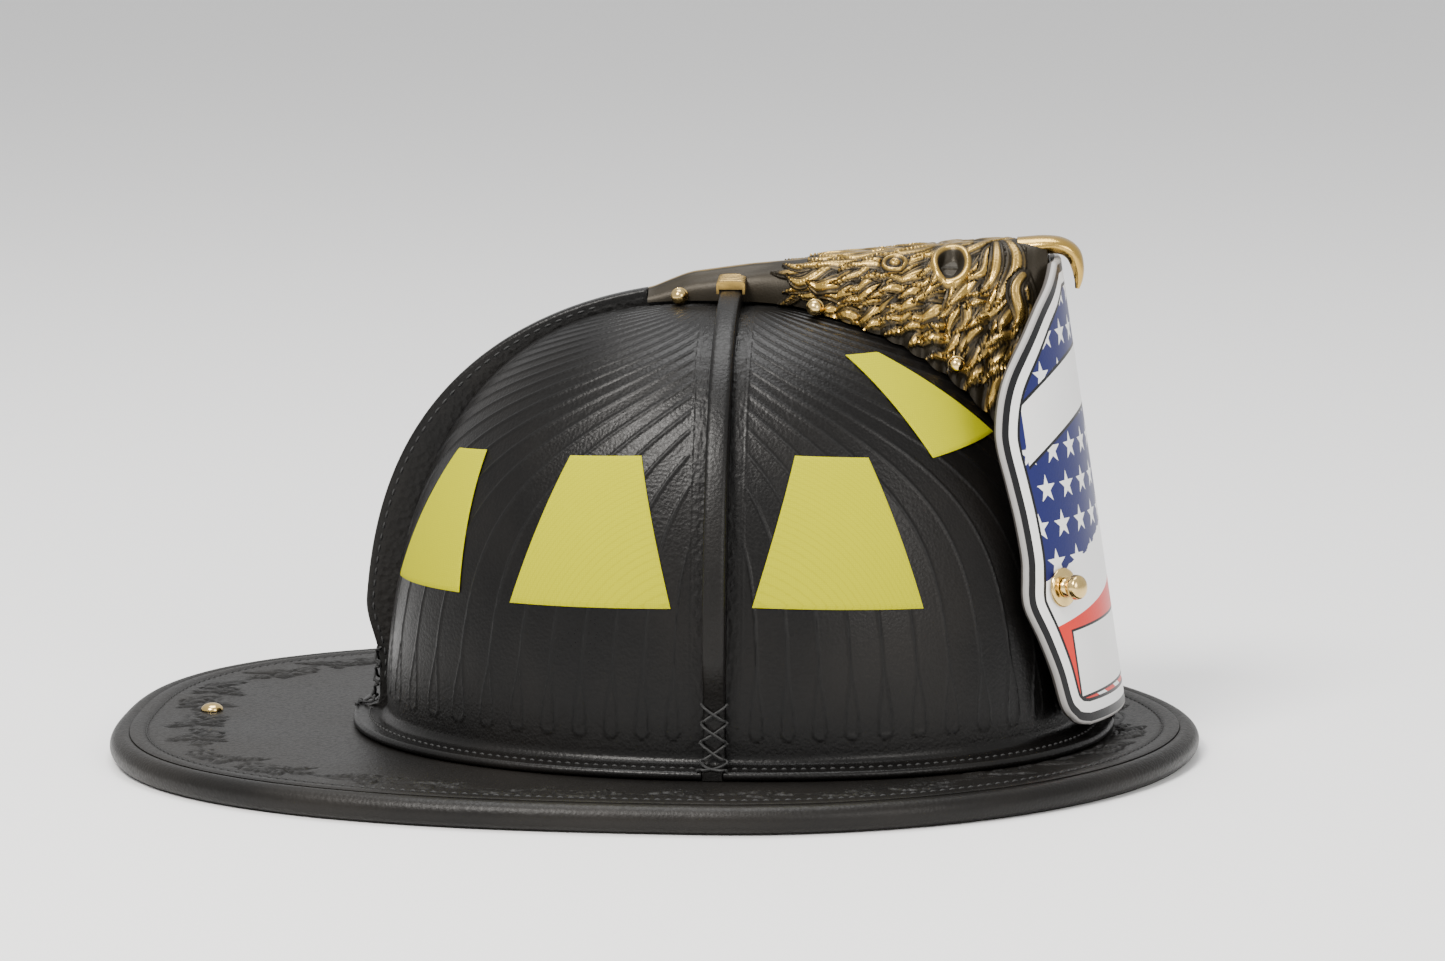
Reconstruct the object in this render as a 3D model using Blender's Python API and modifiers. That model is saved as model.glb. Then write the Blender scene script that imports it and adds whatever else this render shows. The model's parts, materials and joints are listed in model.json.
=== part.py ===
"""Traditional four-comb leather firefighter helmet, as separate pieces.

Metres, +Z up. The front of the helmet faces -Y and the wearer's left is +X. The origin is the
middle of the box of the whole helmet, on the table that the rolled brim edge rests on.
"""
import math

import bmesh
import bpy
from mathutils import Matrix, Vector

# Overall sizes
BRIM_LENGTH = 0.385
BRIM_WIDTH = 0.290
FRONT_OVERHANG = 0.042          # brim in front of the crown, on the centre line
BRIM_FRONT_POWER = 1.9          # superellipse powers of the brim's outline
BRIM_REAR_POWER = 2.6
CROWN_LENGTH = 0.246
CROWN_WIDTH = 0.186
CROWN_RISE = 0.146              # from the top of the flange to the crown's apex
CROWN_PLAN_POWER = 2.2
CROWN_SIDE_POWER = 3.0          # power of the radius in the crown's upright profile
CROWN_TOP_POWER = 2.05          # power of the height in the same profile

# Clearance between pieces that touch
GAP = 0.0003

# Brim and its rolled edge
BEAD_RADIUS = 0.00475
BEAD_FLAT = 0.0018              # half width of the flat that the bead rests on
BRIM_THICKNESS = 0.0035
EDGE_WIRE_RADIUS = 0.0017
ROLL_SLIT_DEGREES = (192.0, 205.0)

# Crown leather
PANEL_THICKNESS = 0.003
FLANGE_WIDTH = 0.012
FLANGE_FILLET = 0.003
PANEL_TOP_DEGREES = 88.0        # how far up the profile the quarters reach
COMB_THICKNESS = 0.0075
COMB_FOOT = 0.0035              # comb height just above the flange
COMB_HEIGHT = 0.009             # comb height at the crown's widest
COMB_APEX_HEIGHT = 0.0072
COMB_FOOT_TOP = 0.028           # height where the comb starts to grow out of its foot
COMB_FULL_FROM = 0.052          # height where the comb is at its full size
COMB_SIDE_POWER = 2.08
COMB_TOP_POWER = 3.0

# Reflective trim
TRIM_THICKNESS = 0.0005

# Front holder
HOLDER_WALL = 0.0026
HOLDER_TAIL = 0.030             # behind the crown's centre
HOLDER_BODY = 0.112             # in front of it, before the shield's back cuts it off
HOLDER_RIDGE_HALF = 0.0062
HOLDER_ARM_REACH = 0.017
BOLT_RADIUS = 0.0015
BOLT_HEAD_RADIUS = 0.0030
BOLT_HEAD_RISE = 0.0022
NUT_RADIUS = 0.0030

# Front shield
SHIELD_THICKNESS = 0.0035
SHIELD_BEND_RADIUS = 0.075
SHIELD_LEAN_DEGREES = 8.8
SHIELD_BOTTOM = 0.0175
SHIELD_ABOVE_CROWN = 0.0167     # top of the shield over the crown's apex
SHIELD_HALF_WIDTH = 0.0711
SHIELD_SCREW_HEIGHT = 0.0665
SHIELD_SCREW_ARC = 0.0485
SCREW_RADIUS = 0.0019
SCREW_KNOB_RADIUS = 0.0044
WASHER_RADIUS = 0.0068
WASHER_THICKNESS = 0.0012
SPACER_RADIUS = 0.0045
SCREW_NUT_RADIUS = 0.0042
SCREW_NUT_HEIGHT = 0.003
SCREW_NUT_SIDES = 6

# Hanger under the rear brim
HANGER_FROM_REAR = 0.0325       # rivet to the rear tip of the brim
RIVET_HEAD_RADIUS = 0.004
RIVET_RADIUS = 0.0018
HANGER_PLATE = (0.018, 0.0012)  # width, thickness
HANGER_RING_WIRE = 0.0011
HANGER_RING_LENGTH = 0.020

# Inner shell and suspension
CAP_THICKNESS = 0.0022
CAP_BOTTOM = 0.027
FOAM_THICKNESS = 0.009
FOAM_BOTTOM = 0.072
HEAD_HALF_LENGTH = 0.095        # inside the headband
HEAD_HALF_WIDTH = 0.076
HEAD_SHIFT = -0.0025            # headband's centre, in front of the crown's centre
BAND_THICKNESS = 0.0016
BAND_BOTTOM = 0.008
BAND_HEIGHT = 0.032
BAND_GAP_DEGREES = 30.0         # half of the headband's opening at the nape
BROW_PAD_THICKNESS = 0.003
BROW_PAD_DEGREES = 72.0
STRAP_WIDTH = 0.019
STRAP_THICKNESS = 0.0014
STRAP_ROOM = 0.014              # between the foam and the straps at the apex
STRAP_SIDE_ROOM = 0.0050        # between the foam and the straps lower down
STRAP_DEGREES = 52.0
KEY_SIZE = (0.022, 0.0042, 0.013)

# Nape ratchet
TAIL_THICKNESS = 0.0012
TAIL_RACK_HEIGHT = 0.0052
TAIL_LIFT = 0.0019              # headband's outside to the tails' inside
TAIL_TIP_DEGREES = 14.0
TAIL_PLATE_DEGREES = (33.0, 41.0)
PINION_RADIUS = 0.006
PINION_SHAFT_RADIUS = 0.003
HOUSING_DEGREES = 24.0
HOUSING_WALL = 0.0018
HOUSING_HEIGHT = 0.030
KNOB_RADIUS = 0.014
KNOB_LENGTH = 0.010
NAPE_HEIGHT = 0.0235

# Ear and neck flap, folded up inside
FLAP_THICKNESS = 0.0018
FLAP_BOTTOM = 0.004
FLAP_HEIGHT = 0.052
FLAP_START_DEGREES = 95.0

# Chin strap, stowed standing on edge inside the front rim
WEBBING_WIDTH = 0.019
WEBBING_THICKNESS = 0.0016
WEBBING_HEIGHT = 0.0130         # height of its middle line
STRAIGHT_Y = -0.1310            # line of the stretch across the front
BUCKLE_HEIGHT = 0.0245
BUCKLE_THICKNESS = 0.0080
SOCKET_SPAN = (0.0060, 0.0340)  # along X
TONGUE_SPAN = (-0.0140, 0.0057)
SLIDE_SPAN = (-0.0380, -0.0260)

# Outlines set by hand, metres
RIDGE_RISE = ((-0.0300, 0.0046), (-0.0225, 0.0078), (-0.0154, 0.0106), (0.0056, 0.0136), (0.0336, 0.0167),
              (0.0615, 0.0197), (0.0893, 0.0227), (0.1049, 0.0238), (0.1120, 0.0230))   # forward, above the apex
HOLDER_SPREAD = ((-0.0300, 0.0062), (-0.0200, 0.0066), (-0.0060, 0.0080), (0.0080, 0.0095), (0.0200, 0.0140),
                 (0.0340, 0.0220), (0.0500, 0.0270), (0.0700, 0.0285), (0.0850, 0.0262), (0.0960, 0.0238),
                 (0.1060, 0.0205), (0.1120, 0.0160))                                    # forward, half width
BEAK_FROM_SHIELD = ((-0.01433, 0.0192, 0.0060, 0.0045), (-0.00583, 0.0209, 0.0062, 0.0034),
                    (0.00017, 0.0206, 0.0058, 0.0030), (0.00417, 0.0180, 0.0050, 0.0028),
                    (0.00587, 0.0134, 0.0038, 0.0023), (0.00627, 0.0092, 0.0024, 0.0016),
                    (0.00587, 0.0057, 0.0010, 0.0008))   # forward of the shield's top, above the apex, half sizes
BOLT_PLACES = ((0.0790, 0.00276), (0.0297, 0.00200), (-0.0185, 0.00304))                # forward, above the crown
SHIELD_OUTLINE = ((0.000, 0.600), (0.008, 0.680), (0.020, 0.722), (0.051, 0.776), (0.128, 0.811),
                  (0.204, 0.866), (0.266, 0.922), (0.302, 0.930), (0.345, 0.912), (0.388, 0.899),
                  (0.469, 0.907), (0.542, 0.927), (0.624, 0.951), (0.673, 0.942), (0.737, 0.894),
                  (0.793, 0.814), (0.858, 0.666), (0.917, 0.509), (0.960, 0.345), (1.000, 0.200))   # share up, share wide
STRAP_ROUTE = ((0.0853, -0.0300), (0.0848, -0.0500), (0.0815, -0.0720), (0.0765, -0.0880), (0.0710, -0.1020),
               (0.0620, -0.1165), (0.0540, -0.1255), (0.0460, STRAIGHT_Y))              # X, Y

# Smaller shapes
BRIM_STEP = 0.0023              # bead's middle to the wall that the brim's edge meets
WIRE_PLACE = (0.0004, -0.0006)  # wire's middle from the bead's middle
FACET_ROOM = 0.0006             # between curved walls, whose flat facets come closer than GAP
SHELL_ROOM = 0.0011             # between the crown, the cap, the foam and the flap
TRIM_STANDOFF = 0.0003
HOLDER_SIDE_POWER = 0.9
HOLDER_ROUND = 0.75
HOLDER_FOOT_ROOM = 0.0012
HOLDER_END_ROOM = 0.001
BOLT_END = 0.0022               # bolt beyond the holder, inside its nut
SHIELD_BACK_SHARE = 1.08        # shield's depth front to back over its thickness, as it leans
SHIELD_STANDOFF = 0.0095        # comb's crest to the shield's face, carried down to the table
WASHER_SEAT = 0.0005
KNOB_PROFILE = ((0.0, 0.0078), (0.0030, 0.0072), (SCREW_KNOB_RADIUS, 0.0050), (SCREW_KNOB_RADIUS, 0.0036),
                (0.0028, 0.0016), (0.0034, 0.0))                                        # radius, height
LEVER_SIZE = (0.0160, 0.0018, 0.0120)
LEVER_POCKET = 0.0014
NOSE_LENGTH = 0.0160
NOSE_THICKNESS = 0.0030
NOSE_HEIGHT = 0.0150
SLIDE_THICKNESS = 0.0056
HANGER_BARREL_RADIUS = 0.0021
HANGER_BARREL_SHARE = 0.6       # barrel's length over the plate's width
HANGER_BARREL_REACH = 0.0075    # rivet to barrel
RIVET_HEAD_RISE = 0.0024
BUCKLE_FORWARD = 0.0025         # buckle's middle in front of the webbing's
THROUGH = 0.05                  # a cut that goes right through

# How finely curved pieces are divided
RING_STEPS = 54
PANEL_COLUMNS = 9
PANEL_ROWS = 9
COMB_STEPS = 18
HOLDER_COLUMNS = 12

# Sizes worked out from those above
CROWN_Y = -BRIM_LENGTH / 2 + FRONT_OVERHANG + CROWN_LENGTH / 2
BRIM_FRONT = FRONT_OVERHANG + CROWN_LENGTH / 2
BRIM_REAR = BRIM_LENGTH - BRIM_FRONT
BRIM_TOP = 2 * BEAD_RADIUS
BRIM_UNDER = BRIM_TOP - BRIM_THICKNESS
FLANGE_UNDER = BRIM_TOP + GAP
FLANGE_TOP = FLANGE_UNDER + PANEL_THICKNESS
CROWN_APEX = FLANGE_TOP + CROWN_RISE
SHIELD_TOP = CROWN_APEX + SHIELD_ABOVE_CROWN
RIDGE_LINE = tuple((forward, CROWN_APEX + rise) for forward, rise in RIDGE_RISE)
HEAD_Y = CROWN_Y + HEAD_SHIFT
PANEL_EDGE = COMB_THICKNESS / 2 + FACET_ROOM + GAP / 2
COMB_MIDDLE = COMB_THICKNESS / 2 + GAP     # where the side combs butt against the front and rear ones
SHIELD_AT_TABLE = CROWN_LENGTH / 2 + COMB_HEIGHT + SHIELD_STANDOFF   # shield's face, carried down to z = 0
SHIELD_TOP_FORWARD = SHIELD_AT_TABLE - math.tan(math.radians(SHIELD_LEAN_DEGREES)) * SHIELD_TOP
BEAK = tuple((SHIELD_TOP_FORWARD + forward, CROWN_APEX + rise, wide, tall)
             for forward, rise, wide, tall in BEAK_FROM_SHIELD)
CAP_INSET = PANEL_THICKNESS + SHELL_ROOM
FOAM_INSET = CAP_INSET + CAP_THICKNESS + SHELL_ROOM
STRAP_INSET = FOAM_INSET + FOAM_THICKNESS + STRAP_SIDE_ROOM
STRAP_BOTTOM = BAND_BOTTOM + BAND_HEIGHT + KEY_SIZE[2] + 2 * GAP
FLAP_INSET = CAP_INSET + CAP_THICKNESS + 2 * SHELL_ROOM
NAPE_RADIUS = (HEAD_HALF_WIDTH + BAND_THICKNESS) ** 2 / (HEAD_HALF_LENGTH + BAND_THICKNESS)
NAPE_Y = HEAD_Y + HEAD_HALF_LENGTH + BAND_THICKNESS - NAPE_RADIUS
TAIL_RADIUS = NAPE_RADIUS + TAIL_LIFT
HANGER_Y = BRIM_LENGTH / 2 - HANGER_FROM_REAR
HANGER_BAR_Y = HANGER_Y - HANGER_BARREL_REACH
HANGER_BAR_Z = BRIM_UNDER - GAP - HANGER_BARREL_RADIUS
BUCKLE_Y = STRAIGHT_Y - BUCKLE_FORWARD
UPRIGHT_ALONG_X = Matrix.Rotation(math.pi / 2, 4, 'X')      # local XY plane stood up in XZ
UPRIGHT_ALONG_Y = Matrix.Rotation(math.pi / 2, 4, 'Z') @ UPRIGHT_ALONG_X

LEATHER = ("crown leather", (0.012, 0.012, 0.013), 0.42, 0.0)
BRIM_LEATHER = ("brim leather", (0.014, 0.013, 0.013), 0.46, 0.0)
BRASS = ("polished brass", (0.80, 0.58, 0.22), 0.22, 1.0)
ANTIQUE_BRASS = ("antiqued brass", (0.42, 0.30, 0.12), 0.38, 1.0)
TRIM = ("lime trim", (0.64, 0.66, 0.02), 0.5, 0.0)
SHIELD_LEATHER = ("painted shield leather", (0.05, 0.07, 0.30), 0.35, 0.0)
PLASTIC = ("black nylon", (0.02, 0.02, 0.022), 0.5, 0.0)
CAP_PLASTIC = ("inner shell", (0.30, 0.05, 0.03), 0.45, 0.0)
FOAM = ("impact foam", (0.55, 0.55, 0.52), 0.9, 0.0)
WEBBING = ("black webbing", (0.02, 0.02, 0.02), 0.85, 0.0)
FLAP_CLOTH = ("flap cloth", (0.10, 0.09, 0.06), 0.95, 0.0)
PAD_LEATHER = ("brow leather", (0.20, 0.11, 0.05), 0.6, 0.0)
STEEL = ("steel wire", (0.55, 0.55, 0.56), 0.3, 1.0)


# Scene, materials and placing

def clear_scene():
    for item in list(bpy.data.objects):
        bpy.data.objects.remove(item, do_unlink=True)


def make_collection(name):
    group = bpy.data.collections.new(name)
    bpy.context.scene.collection.children.link(group)
    return group


def get_material(finish):
    name, colour, roughness, metallic = finish
    material = bpy.data.materials.get(name)
    if material is None:
        material = bpy.data.materials.new(name)
        material.use_nodes = True
        shader = material.node_tree.nodes["Principled BSDF"]
        shader.inputs["Base Color"].default_value = (*colour, 1.0)
        shader.inputs["Roughness"].default_value = roughness
        shader.inputs["Metallic"].default_value = metallic
        material.diffuse_color = (*colour, 1.0)
    return material


def add_object(name, data, finish, group=None):
    """Link a mesh or curve as a named piece of the helmet, or as a cutter."""
    item = bpy.data.objects.new(name, data)
    (group or helmet).objects.link(item)
    if finish is not None:
        data.materials.append(get_material(finish))
    return item


def mesh_from(name, points, faces, closed=True):
    mesh = bpy.data.meshes.new(name)
    mesh.from_pydata([tuple(point) for point in points], [], faces)
    if closed:
        shape = bmesh.new()
        shape.from_mesh(mesh)
        bmesh.ops.recalc_face_normals(shape, faces=shape.faces)
        shape.to_mesh(mesh)
        shape.free()
    mesh.shade_smooth()
    mesh.set_sharp_from_angle(angle=math.radians(35))
    return mesh


def loft(name, rings, finish, cyclic=False, group=None):
    """A closed solid through rings of equal point counts, capped unless it runs round."""
    count = len(rings[0])
    points = [point for ring in rings for point in ring]
    faces = []
    last = len(rings) if cyclic else len(rings) - 1
    for row in range(last):
        after = (row + 1) % len(rings)
        for column in range(count):
            beside = (column + 1) % count
            faces.append((row * count + column, row * count + beside,
                          after * count + beside, after * count + column))
    if not cyclic:
        faces.append(tuple(range(count)))
        faces.append(tuple(range((len(rings) - 1) * count, len(rings) * count)))
    return add_object(name, mesh_from(name, points, faces), finish, group)


def sheet(name, rows, thickness, finish, cyclic=False, pole=None):
    """A thin wall: an open grid whose faces look outwards, thickened inwards by Solidify."""
    count = len(rows[0])
    points = [point for row in rows for point in row]
    faces = []
    for row in range(len(rows) - 1):
        for column in range(count if cyclic else count - 1):
            beside = (column + 1) % count
            faces.append((row * count + column, row * count + beside,
                          (row + 1) * count + beside, (row + 1) * count + column))
    if pole is not None:
        top = (len(rows) - 1) * count
        for column in range(count):
            faces.append((top + column, top + (column + 1) % count, len(points)))
        points.append(pole)
    item = add_object(name, mesh_from(name, points, faces, closed=False), finish)
    wall = item.modifiers.new("wall", 'SOLIDIFY')
    wall.thickness = thickness
    wall.offset = -1.0
    wall.use_even_offset = True
    return item


def outline_plate(name, outline, thickness, finish, matrix=None):
    """A flat plate from a closed 2D outline, extruded both ways from its own XY plane."""
    curve = bpy.data.curves.new(name, 'CURVE')
    curve.dimensions = '2D'
    curve.fill_mode = 'BOTH'
    curve.extrude = thickness / 2
    spline = curve.splines.new('POLY')
    spline.points.add(len(outline) - 1)
    for point, (x, y) in zip(spline.points, outline):
        point.co = (x, y, 0.0, 1.0)
    spline.use_cyclic_u = True
    item = add_object(name, curve, finish)
    if matrix is not None:
        item.matrix_world = matrix
    return item


def solid_plate(name, outline, thickness, finish, matrix):
    """The same plate made a welded mesh, so that holes can be cut in it."""
    flat = outline_plate(name + "_outline", outline, thickness, None, matrix)
    bpy.context.view_layer.update()
    seen = flat.evaluated_get(bpy.context.evaluated_depsgraph_get())
    mesh = bpy.data.meshes.new_from_object(seen)
    mesh.name = name
    mesh.materials.clear()
    bpy.data.objects.remove(flat, do_unlink=True)
    shape = bmesh.new()
    shape.from_mesh(mesh)
    bmesh.ops.remove_doubles(shape, verts=shape.verts, dist=1e-6)
    bmesh.ops.recalc_face_normals(shape, faces=shape.faces)
    shape.to_mesh(mesh)
    shape.free()
    item = add_object(name, mesh, finish)
    item.matrix_world = matrix
    return item


def turned(name, profile, finish, matrix, steps=20):
    """A turned solid: the profile's (radius, height) points run round local Z."""
    mesh = bpy.data.meshes.new(name)
    points = [(radius, 0.0, height) for radius, height in profile]
    edges = [(number, number + 1) for number in range(len(points) - 1)]
    if profile[0][0] > 0 and profile[-1][0] > 0:
        edges.append((len(points) - 1, 0))
    mesh.from_pydata(points, edges, [])
    item = add_object(name, mesh, finish)
    screw = item.modifiers.new("turn", 'SCREW')
    screw.steps = steps
    screw.render_steps = steps
    screw.use_merge_vertices = True
    screw.merge_threshold = 0.00001
    screw.use_smooth_shade = False
    item.matrix_world = matrix
    return item


def box(name, size, centre, finish, bevel=0.0, group=None):
    bpy.ops.mesh.primitive_cube_add(size=1.0, location=centre)
    item = bpy.context.active_object
    item.name = name
    item.data.name = name
    item.data.transform(Matrix.Diagonal((*size, 1.0)))
    move_to(item, group or helmet)
    if finish is not None:
        item.data.materials.append(get_material(finish))
    if bevel:
        rounding = item.modifiers.new("rounding", 'BEVEL')
        rounding.width = bevel
        rounding.segments = 2
    return item


def move_to(item, group):
    for old in list(item.users_collection):
        old.objects.unlink(item)
    group.objects.link(item)


def cut(item, cutter, operation='DIFFERENCE'):
    """Cut a piece with another object, which then only shows as wire."""
    cutter.hide_render = True
    cutter.display_type = 'WIRE'
    change = item.modifiers.new("cut " + cutter.name, 'BOOLEAN')
    change.operation = operation
    change.solver = 'EXACT'
    change.object = cutter


def drill(item, matrix, radius, depth, sides=16):
    """A round hole along the local Z of a matrix, half its depth to each side."""
    bpy.ops.mesh.primitive_cylinder_add(vertices=sides, radius=radius, depth=depth)
    cutter = bpy.context.active_object
    cutter.name = item.name + " drill"
    cutter.matrix_world = matrix
    move_to(cutter, cutters)
    cut(item, cutter)


def frame_at(place, direction, upright=(0.0, 0.0, 1.0)):
    """A matrix whose Z runs along a direction and whose Y stays near upright."""
    along = Vector(direction).normalized()
    across = Vector(upright).cross(along).normalized()
    over = along.cross(across)
    turn = Matrix((across, over, along)).transposed().to_4x4()
    return Matrix.Translation(place) @ turn


# Plan curves and the crown's shape

def plan_radius(angle, front, rear, half_width, front_power, rear_power):
    """Radius of a superellipse at an angle turned from the front (-Y) towards +X."""
    forward = math.cos(angle)
    length, power = (front, front_power) if forward >= 0 else (rear, rear_power)
    sides = (abs(forward) / length) ** power + (abs(math.sin(angle)) / half_width) ** power
    return sides ** (-1 / power)


def plan_point(angle, radius, height, centre_y):
    return Vector((radius * math.sin(angle), centre_y - radius * math.cos(angle), height))


def crown_radius(angle, inset=0.0):
    half_length = CROWN_LENGTH / 2 - inset
    half_width = CROWN_WIDTH / 2 - inset
    return plan_radius(angle, half_length, half_length, half_width, CROWN_PLAN_POWER, CROWN_PLAN_POWER)


def crown_share(climb):
    """Share of the base radius and of the rise at a climb angle, 0 at the base, 90 at the apex."""
    across = math.cos(climb) ** (2 / CROWN_SIDE_POWER)
    upward = math.sin(climb) ** (2 / CROWN_TOP_POWER)
    return across, upward


def crown_climb(height, inset=0.0):
    share = (height - FLANGE_TOP) / (CROWN_RISE - inset)
    return math.asin(max(share, 0.0) ** (CROWN_TOP_POWER / 2))


def crown_point(angle, climb, inset=0.0):
    """A point of the crown's surface, or of a surface inside it by inset."""
    across, upward = crown_share(climb)
    radius = crown_radius(angle, inset) * across
    return plan_point(angle, radius, FLANGE_TOP + (CROWN_RISE - inset) * upward, CROWN_Y)


def crown_height(x, forward, inset=0.0):
    """Height of the crown's surface over a place x, forward of its centre."""
    half_length = CROWN_LENGTH / 2 - inset
    half_width = CROWN_WIDTH / 2 - inset
    share = (abs(forward) / half_length) ** CROWN_PLAN_POWER + (abs(x) / half_width) ** CROWN_PLAN_POWER
    across = min(share ** (1 / CROWN_PLAN_POWER), 1.0)
    upward = (1 - across ** CROWN_SIDE_POWER) ** (1 / CROWN_TOP_POWER)
    return FLANGE_TOP + (CROWN_RISE - inset) * upward


BOLTS = tuple((forward, crown_height(0, forward) + rise) for forward, rise in BOLT_PLACES)


def steps_between(first, last, count):
    return [first + (last - first) * number / count for number in range(count + 1)]


def blend_value(table, place):
    """Value at a place on a hand-set list of (place, value), on straight lines between its points."""
    if place <= table[0][0]:
        return table[0][1]
    for (start, low), (end, high) in zip(table, table[1:]):
        if place <= end:
            share = (place - start) / (end - start)
            return low + (high - low) * share
    return table[-1][1]


# Brim

def brim_outline(angle, inset):
    """A point at an inset from the brim's outline, and the outward direction there."""
    def edge(turn):
        radius = plan_radius(turn, BRIM_FRONT, BRIM_REAR, BRIM_WIDTH / 2, BRIM_FRONT_POWER, BRIM_REAR_POWER)
        return plan_point(turn, radius, 0.0, CROWN_Y)
    along = edge(angle + 0.001) - edge(angle - 0.001)
    outward = Vector((along.y, -along.x, 0.0)).normalized()
    return edge(angle) - outward * inset, outward


def arc(centre, radius, first, last, count):
    """Points of an arc between two angles in degrees."""
    turns = [math.radians(turn) for turn in steps_between(first, last, count)]
    return [(centre[0] + radius * math.cos(turn), centre[1] + radius * math.sin(turn)) for turn in turns]


def bead_section():
    """The rolled edge's section, (outward, up) from the bead's middle: an open roll round the
    wire, with a step that the brim's edge sits in."""
    lip, opening = ROLL_SLIT_DEGREES
    step_wall = -BRIM_STEP
    step_floor = BEAD_RADIUS - BRIM_THICKNESS - GAP
    crest = math.degrees(math.acos(step_wall / BEAD_RADIUS))
    notch = 180 - math.degrees(math.asin(step_floor / BEAD_RADIUS))
    under = arc((0, 0), BEAD_RADIUS, opening, 228, 1) + [(-BEAD_FLAT, -BEAD_RADIUS), (BEAD_FLAT, -BEAD_RADIUS)]
    over = arc((0, 0), BEAD_RADIUS, 312 - 360, crest, 6)
    step = [(step_wall, step_floor)] + arc((0, 0), BEAD_RADIUS, notch, lip, 1)
    inside = arc(WIRE_PLACE, EDGE_WIRE_RADIUS + GAP, lip, opening - 360, 7)
    return under + over + step + inside


def ring_angles(count=RING_STEPS):
    return [2 * math.pi * number / count for number in range(count)]


def make_brim():
    rings = []
    for angle in ring_angles():
        edge, outward = brim_outline(angle, BEAD_RADIUS)
        edge = edge - outward * (BRIM_STEP + GAP)
        inner = plan_point(angle, crown_radius(angle, PANEL_THICKNESS), 0.0, CROWN_Y)
        middle = inner.lerp(edge, 0.5)
        low, high = Vector((0, 0, BRIM_UNDER)), Vector((0, 0, BRIM_TOP))
        rings.append([inner + low, middle + low, edge + low, edge + high, middle + high, inner + high])
    brim = loft("brim", rings, BRIM_LEATHER, cyclic=True)
    rivet_hole = Matrix.Translation((0, HANGER_Y, BRIM_TOP))
    drill(brim, rivet_hole, RIVET_RADIUS + GAP, 3 * BRIM_THICKNESS)

    rings = []
    section = bead_section()
    for angle in ring_angles():
        middle, outward = brim_outline(angle, BEAD_RADIUS)
        middle.z = BEAD_RADIUS
        rings.append([middle + outward * out + Vector((0, 0, up)) for out, up in section])
    loft("brim_binding", rings, BRIM_LEATHER, cyclic=True)

    wire = bpy.data.curves.new("brim_edge_wire", 'CURVE')
    wire.dimensions = '3D'
    wire.bevel_depth = EDGE_WIRE_RADIUS
    wire.bevel_resolution = 1
    spline = wire.splines.new('POLY')
    spline.points.add(RING_STEPS - 1)
    for point, angle in zip(spline.points, ring_angles()):
        middle, outward = brim_outline(angle, BEAD_RADIUS)
        place = middle + outward * WIRE_PLACE[0]
        point.co = (place.x, place.y, BEAD_RADIUS + WIRE_PLACE[1], 1.0)
    spline.use_cyclic_u = True
    add_object("brim_edge_wire", wire, STEEL)


# Crown

def edge_angles(half_length, half_width, share):
    """Angles from the front where a quarter's ring comes as close to the combs as it may."""
    length, width, power = half_length * share, half_width * share, CROWN_PLAN_POWER
    forward = length * (1 - (PANEL_EDGE / width) ** power) ** (1 / power)
    sideways = width * (1 - (PANEL_EDGE / length) ** power) ** (1 / power)
    return math.atan2(PANEL_EDGE, forward), math.atan2(sideways, PANEL_EDGE)


def panel_row(share, widen, height):
    """One row of the front left quarter, from the front comb round to the left comb."""
    half_length, half_width = CROWN_LENGTH / 2 + widen, CROWN_WIDTH / 2 + widen
    first, last = edge_angles(half_length, half_width, share)
    row = []
    for angle in steps_between(first, last, PANEL_COLUMNS):
        radius = share * plan_radius(angle, half_length, half_length, half_width,
                                     CROWN_PLAN_POWER, CROWN_PLAN_POWER)
        row.append(plan_point(angle, radius, height, 0.0))
    return row


def make_crown_panels():
    rows = [panel_row(1.0, widen, FLANGE_TOP) for widen in (FLANGE_WIDTH, FLANGE_WIDTH / 2, FLANGE_FILLET)]
    rows.append(panel_row(1.0, FLANGE_FILLET * 0.3, FLANGE_TOP + FLANGE_FILLET * 0.3))
    start = crown_climb(FLANGE_TOP + FLANGE_FILLET)
    for climb in steps_between(start, math.radians(PANEL_TOP_DEGREES), PANEL_ROWS):
        across, upward = crown_share(climb)
        rows.append(panel_row(across, 0.0, FLANGE_TOP + CROWN_RISE * upward))
    for side, side_name in ((1, "left"), (-1, "right")):
        for end, end_name in ((1, "front"), (-1, "rear")):
            placed = []
            for row in rows:
                line = [Vector((side * point.x, CROWN_Y + end * point.y, point.z)) for point in row]
                placed.append(line if side * end > 0 else line[::-1])
            panel = sheet(f"crown_panel_{end_name}_{side_name}", placed, PANEL_THICKNESS, LEATHER)
            if end > 0:
                drill(panel, shield_screw_frame(side), SCREW_RADIUS + GAP, 0.060)


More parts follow.
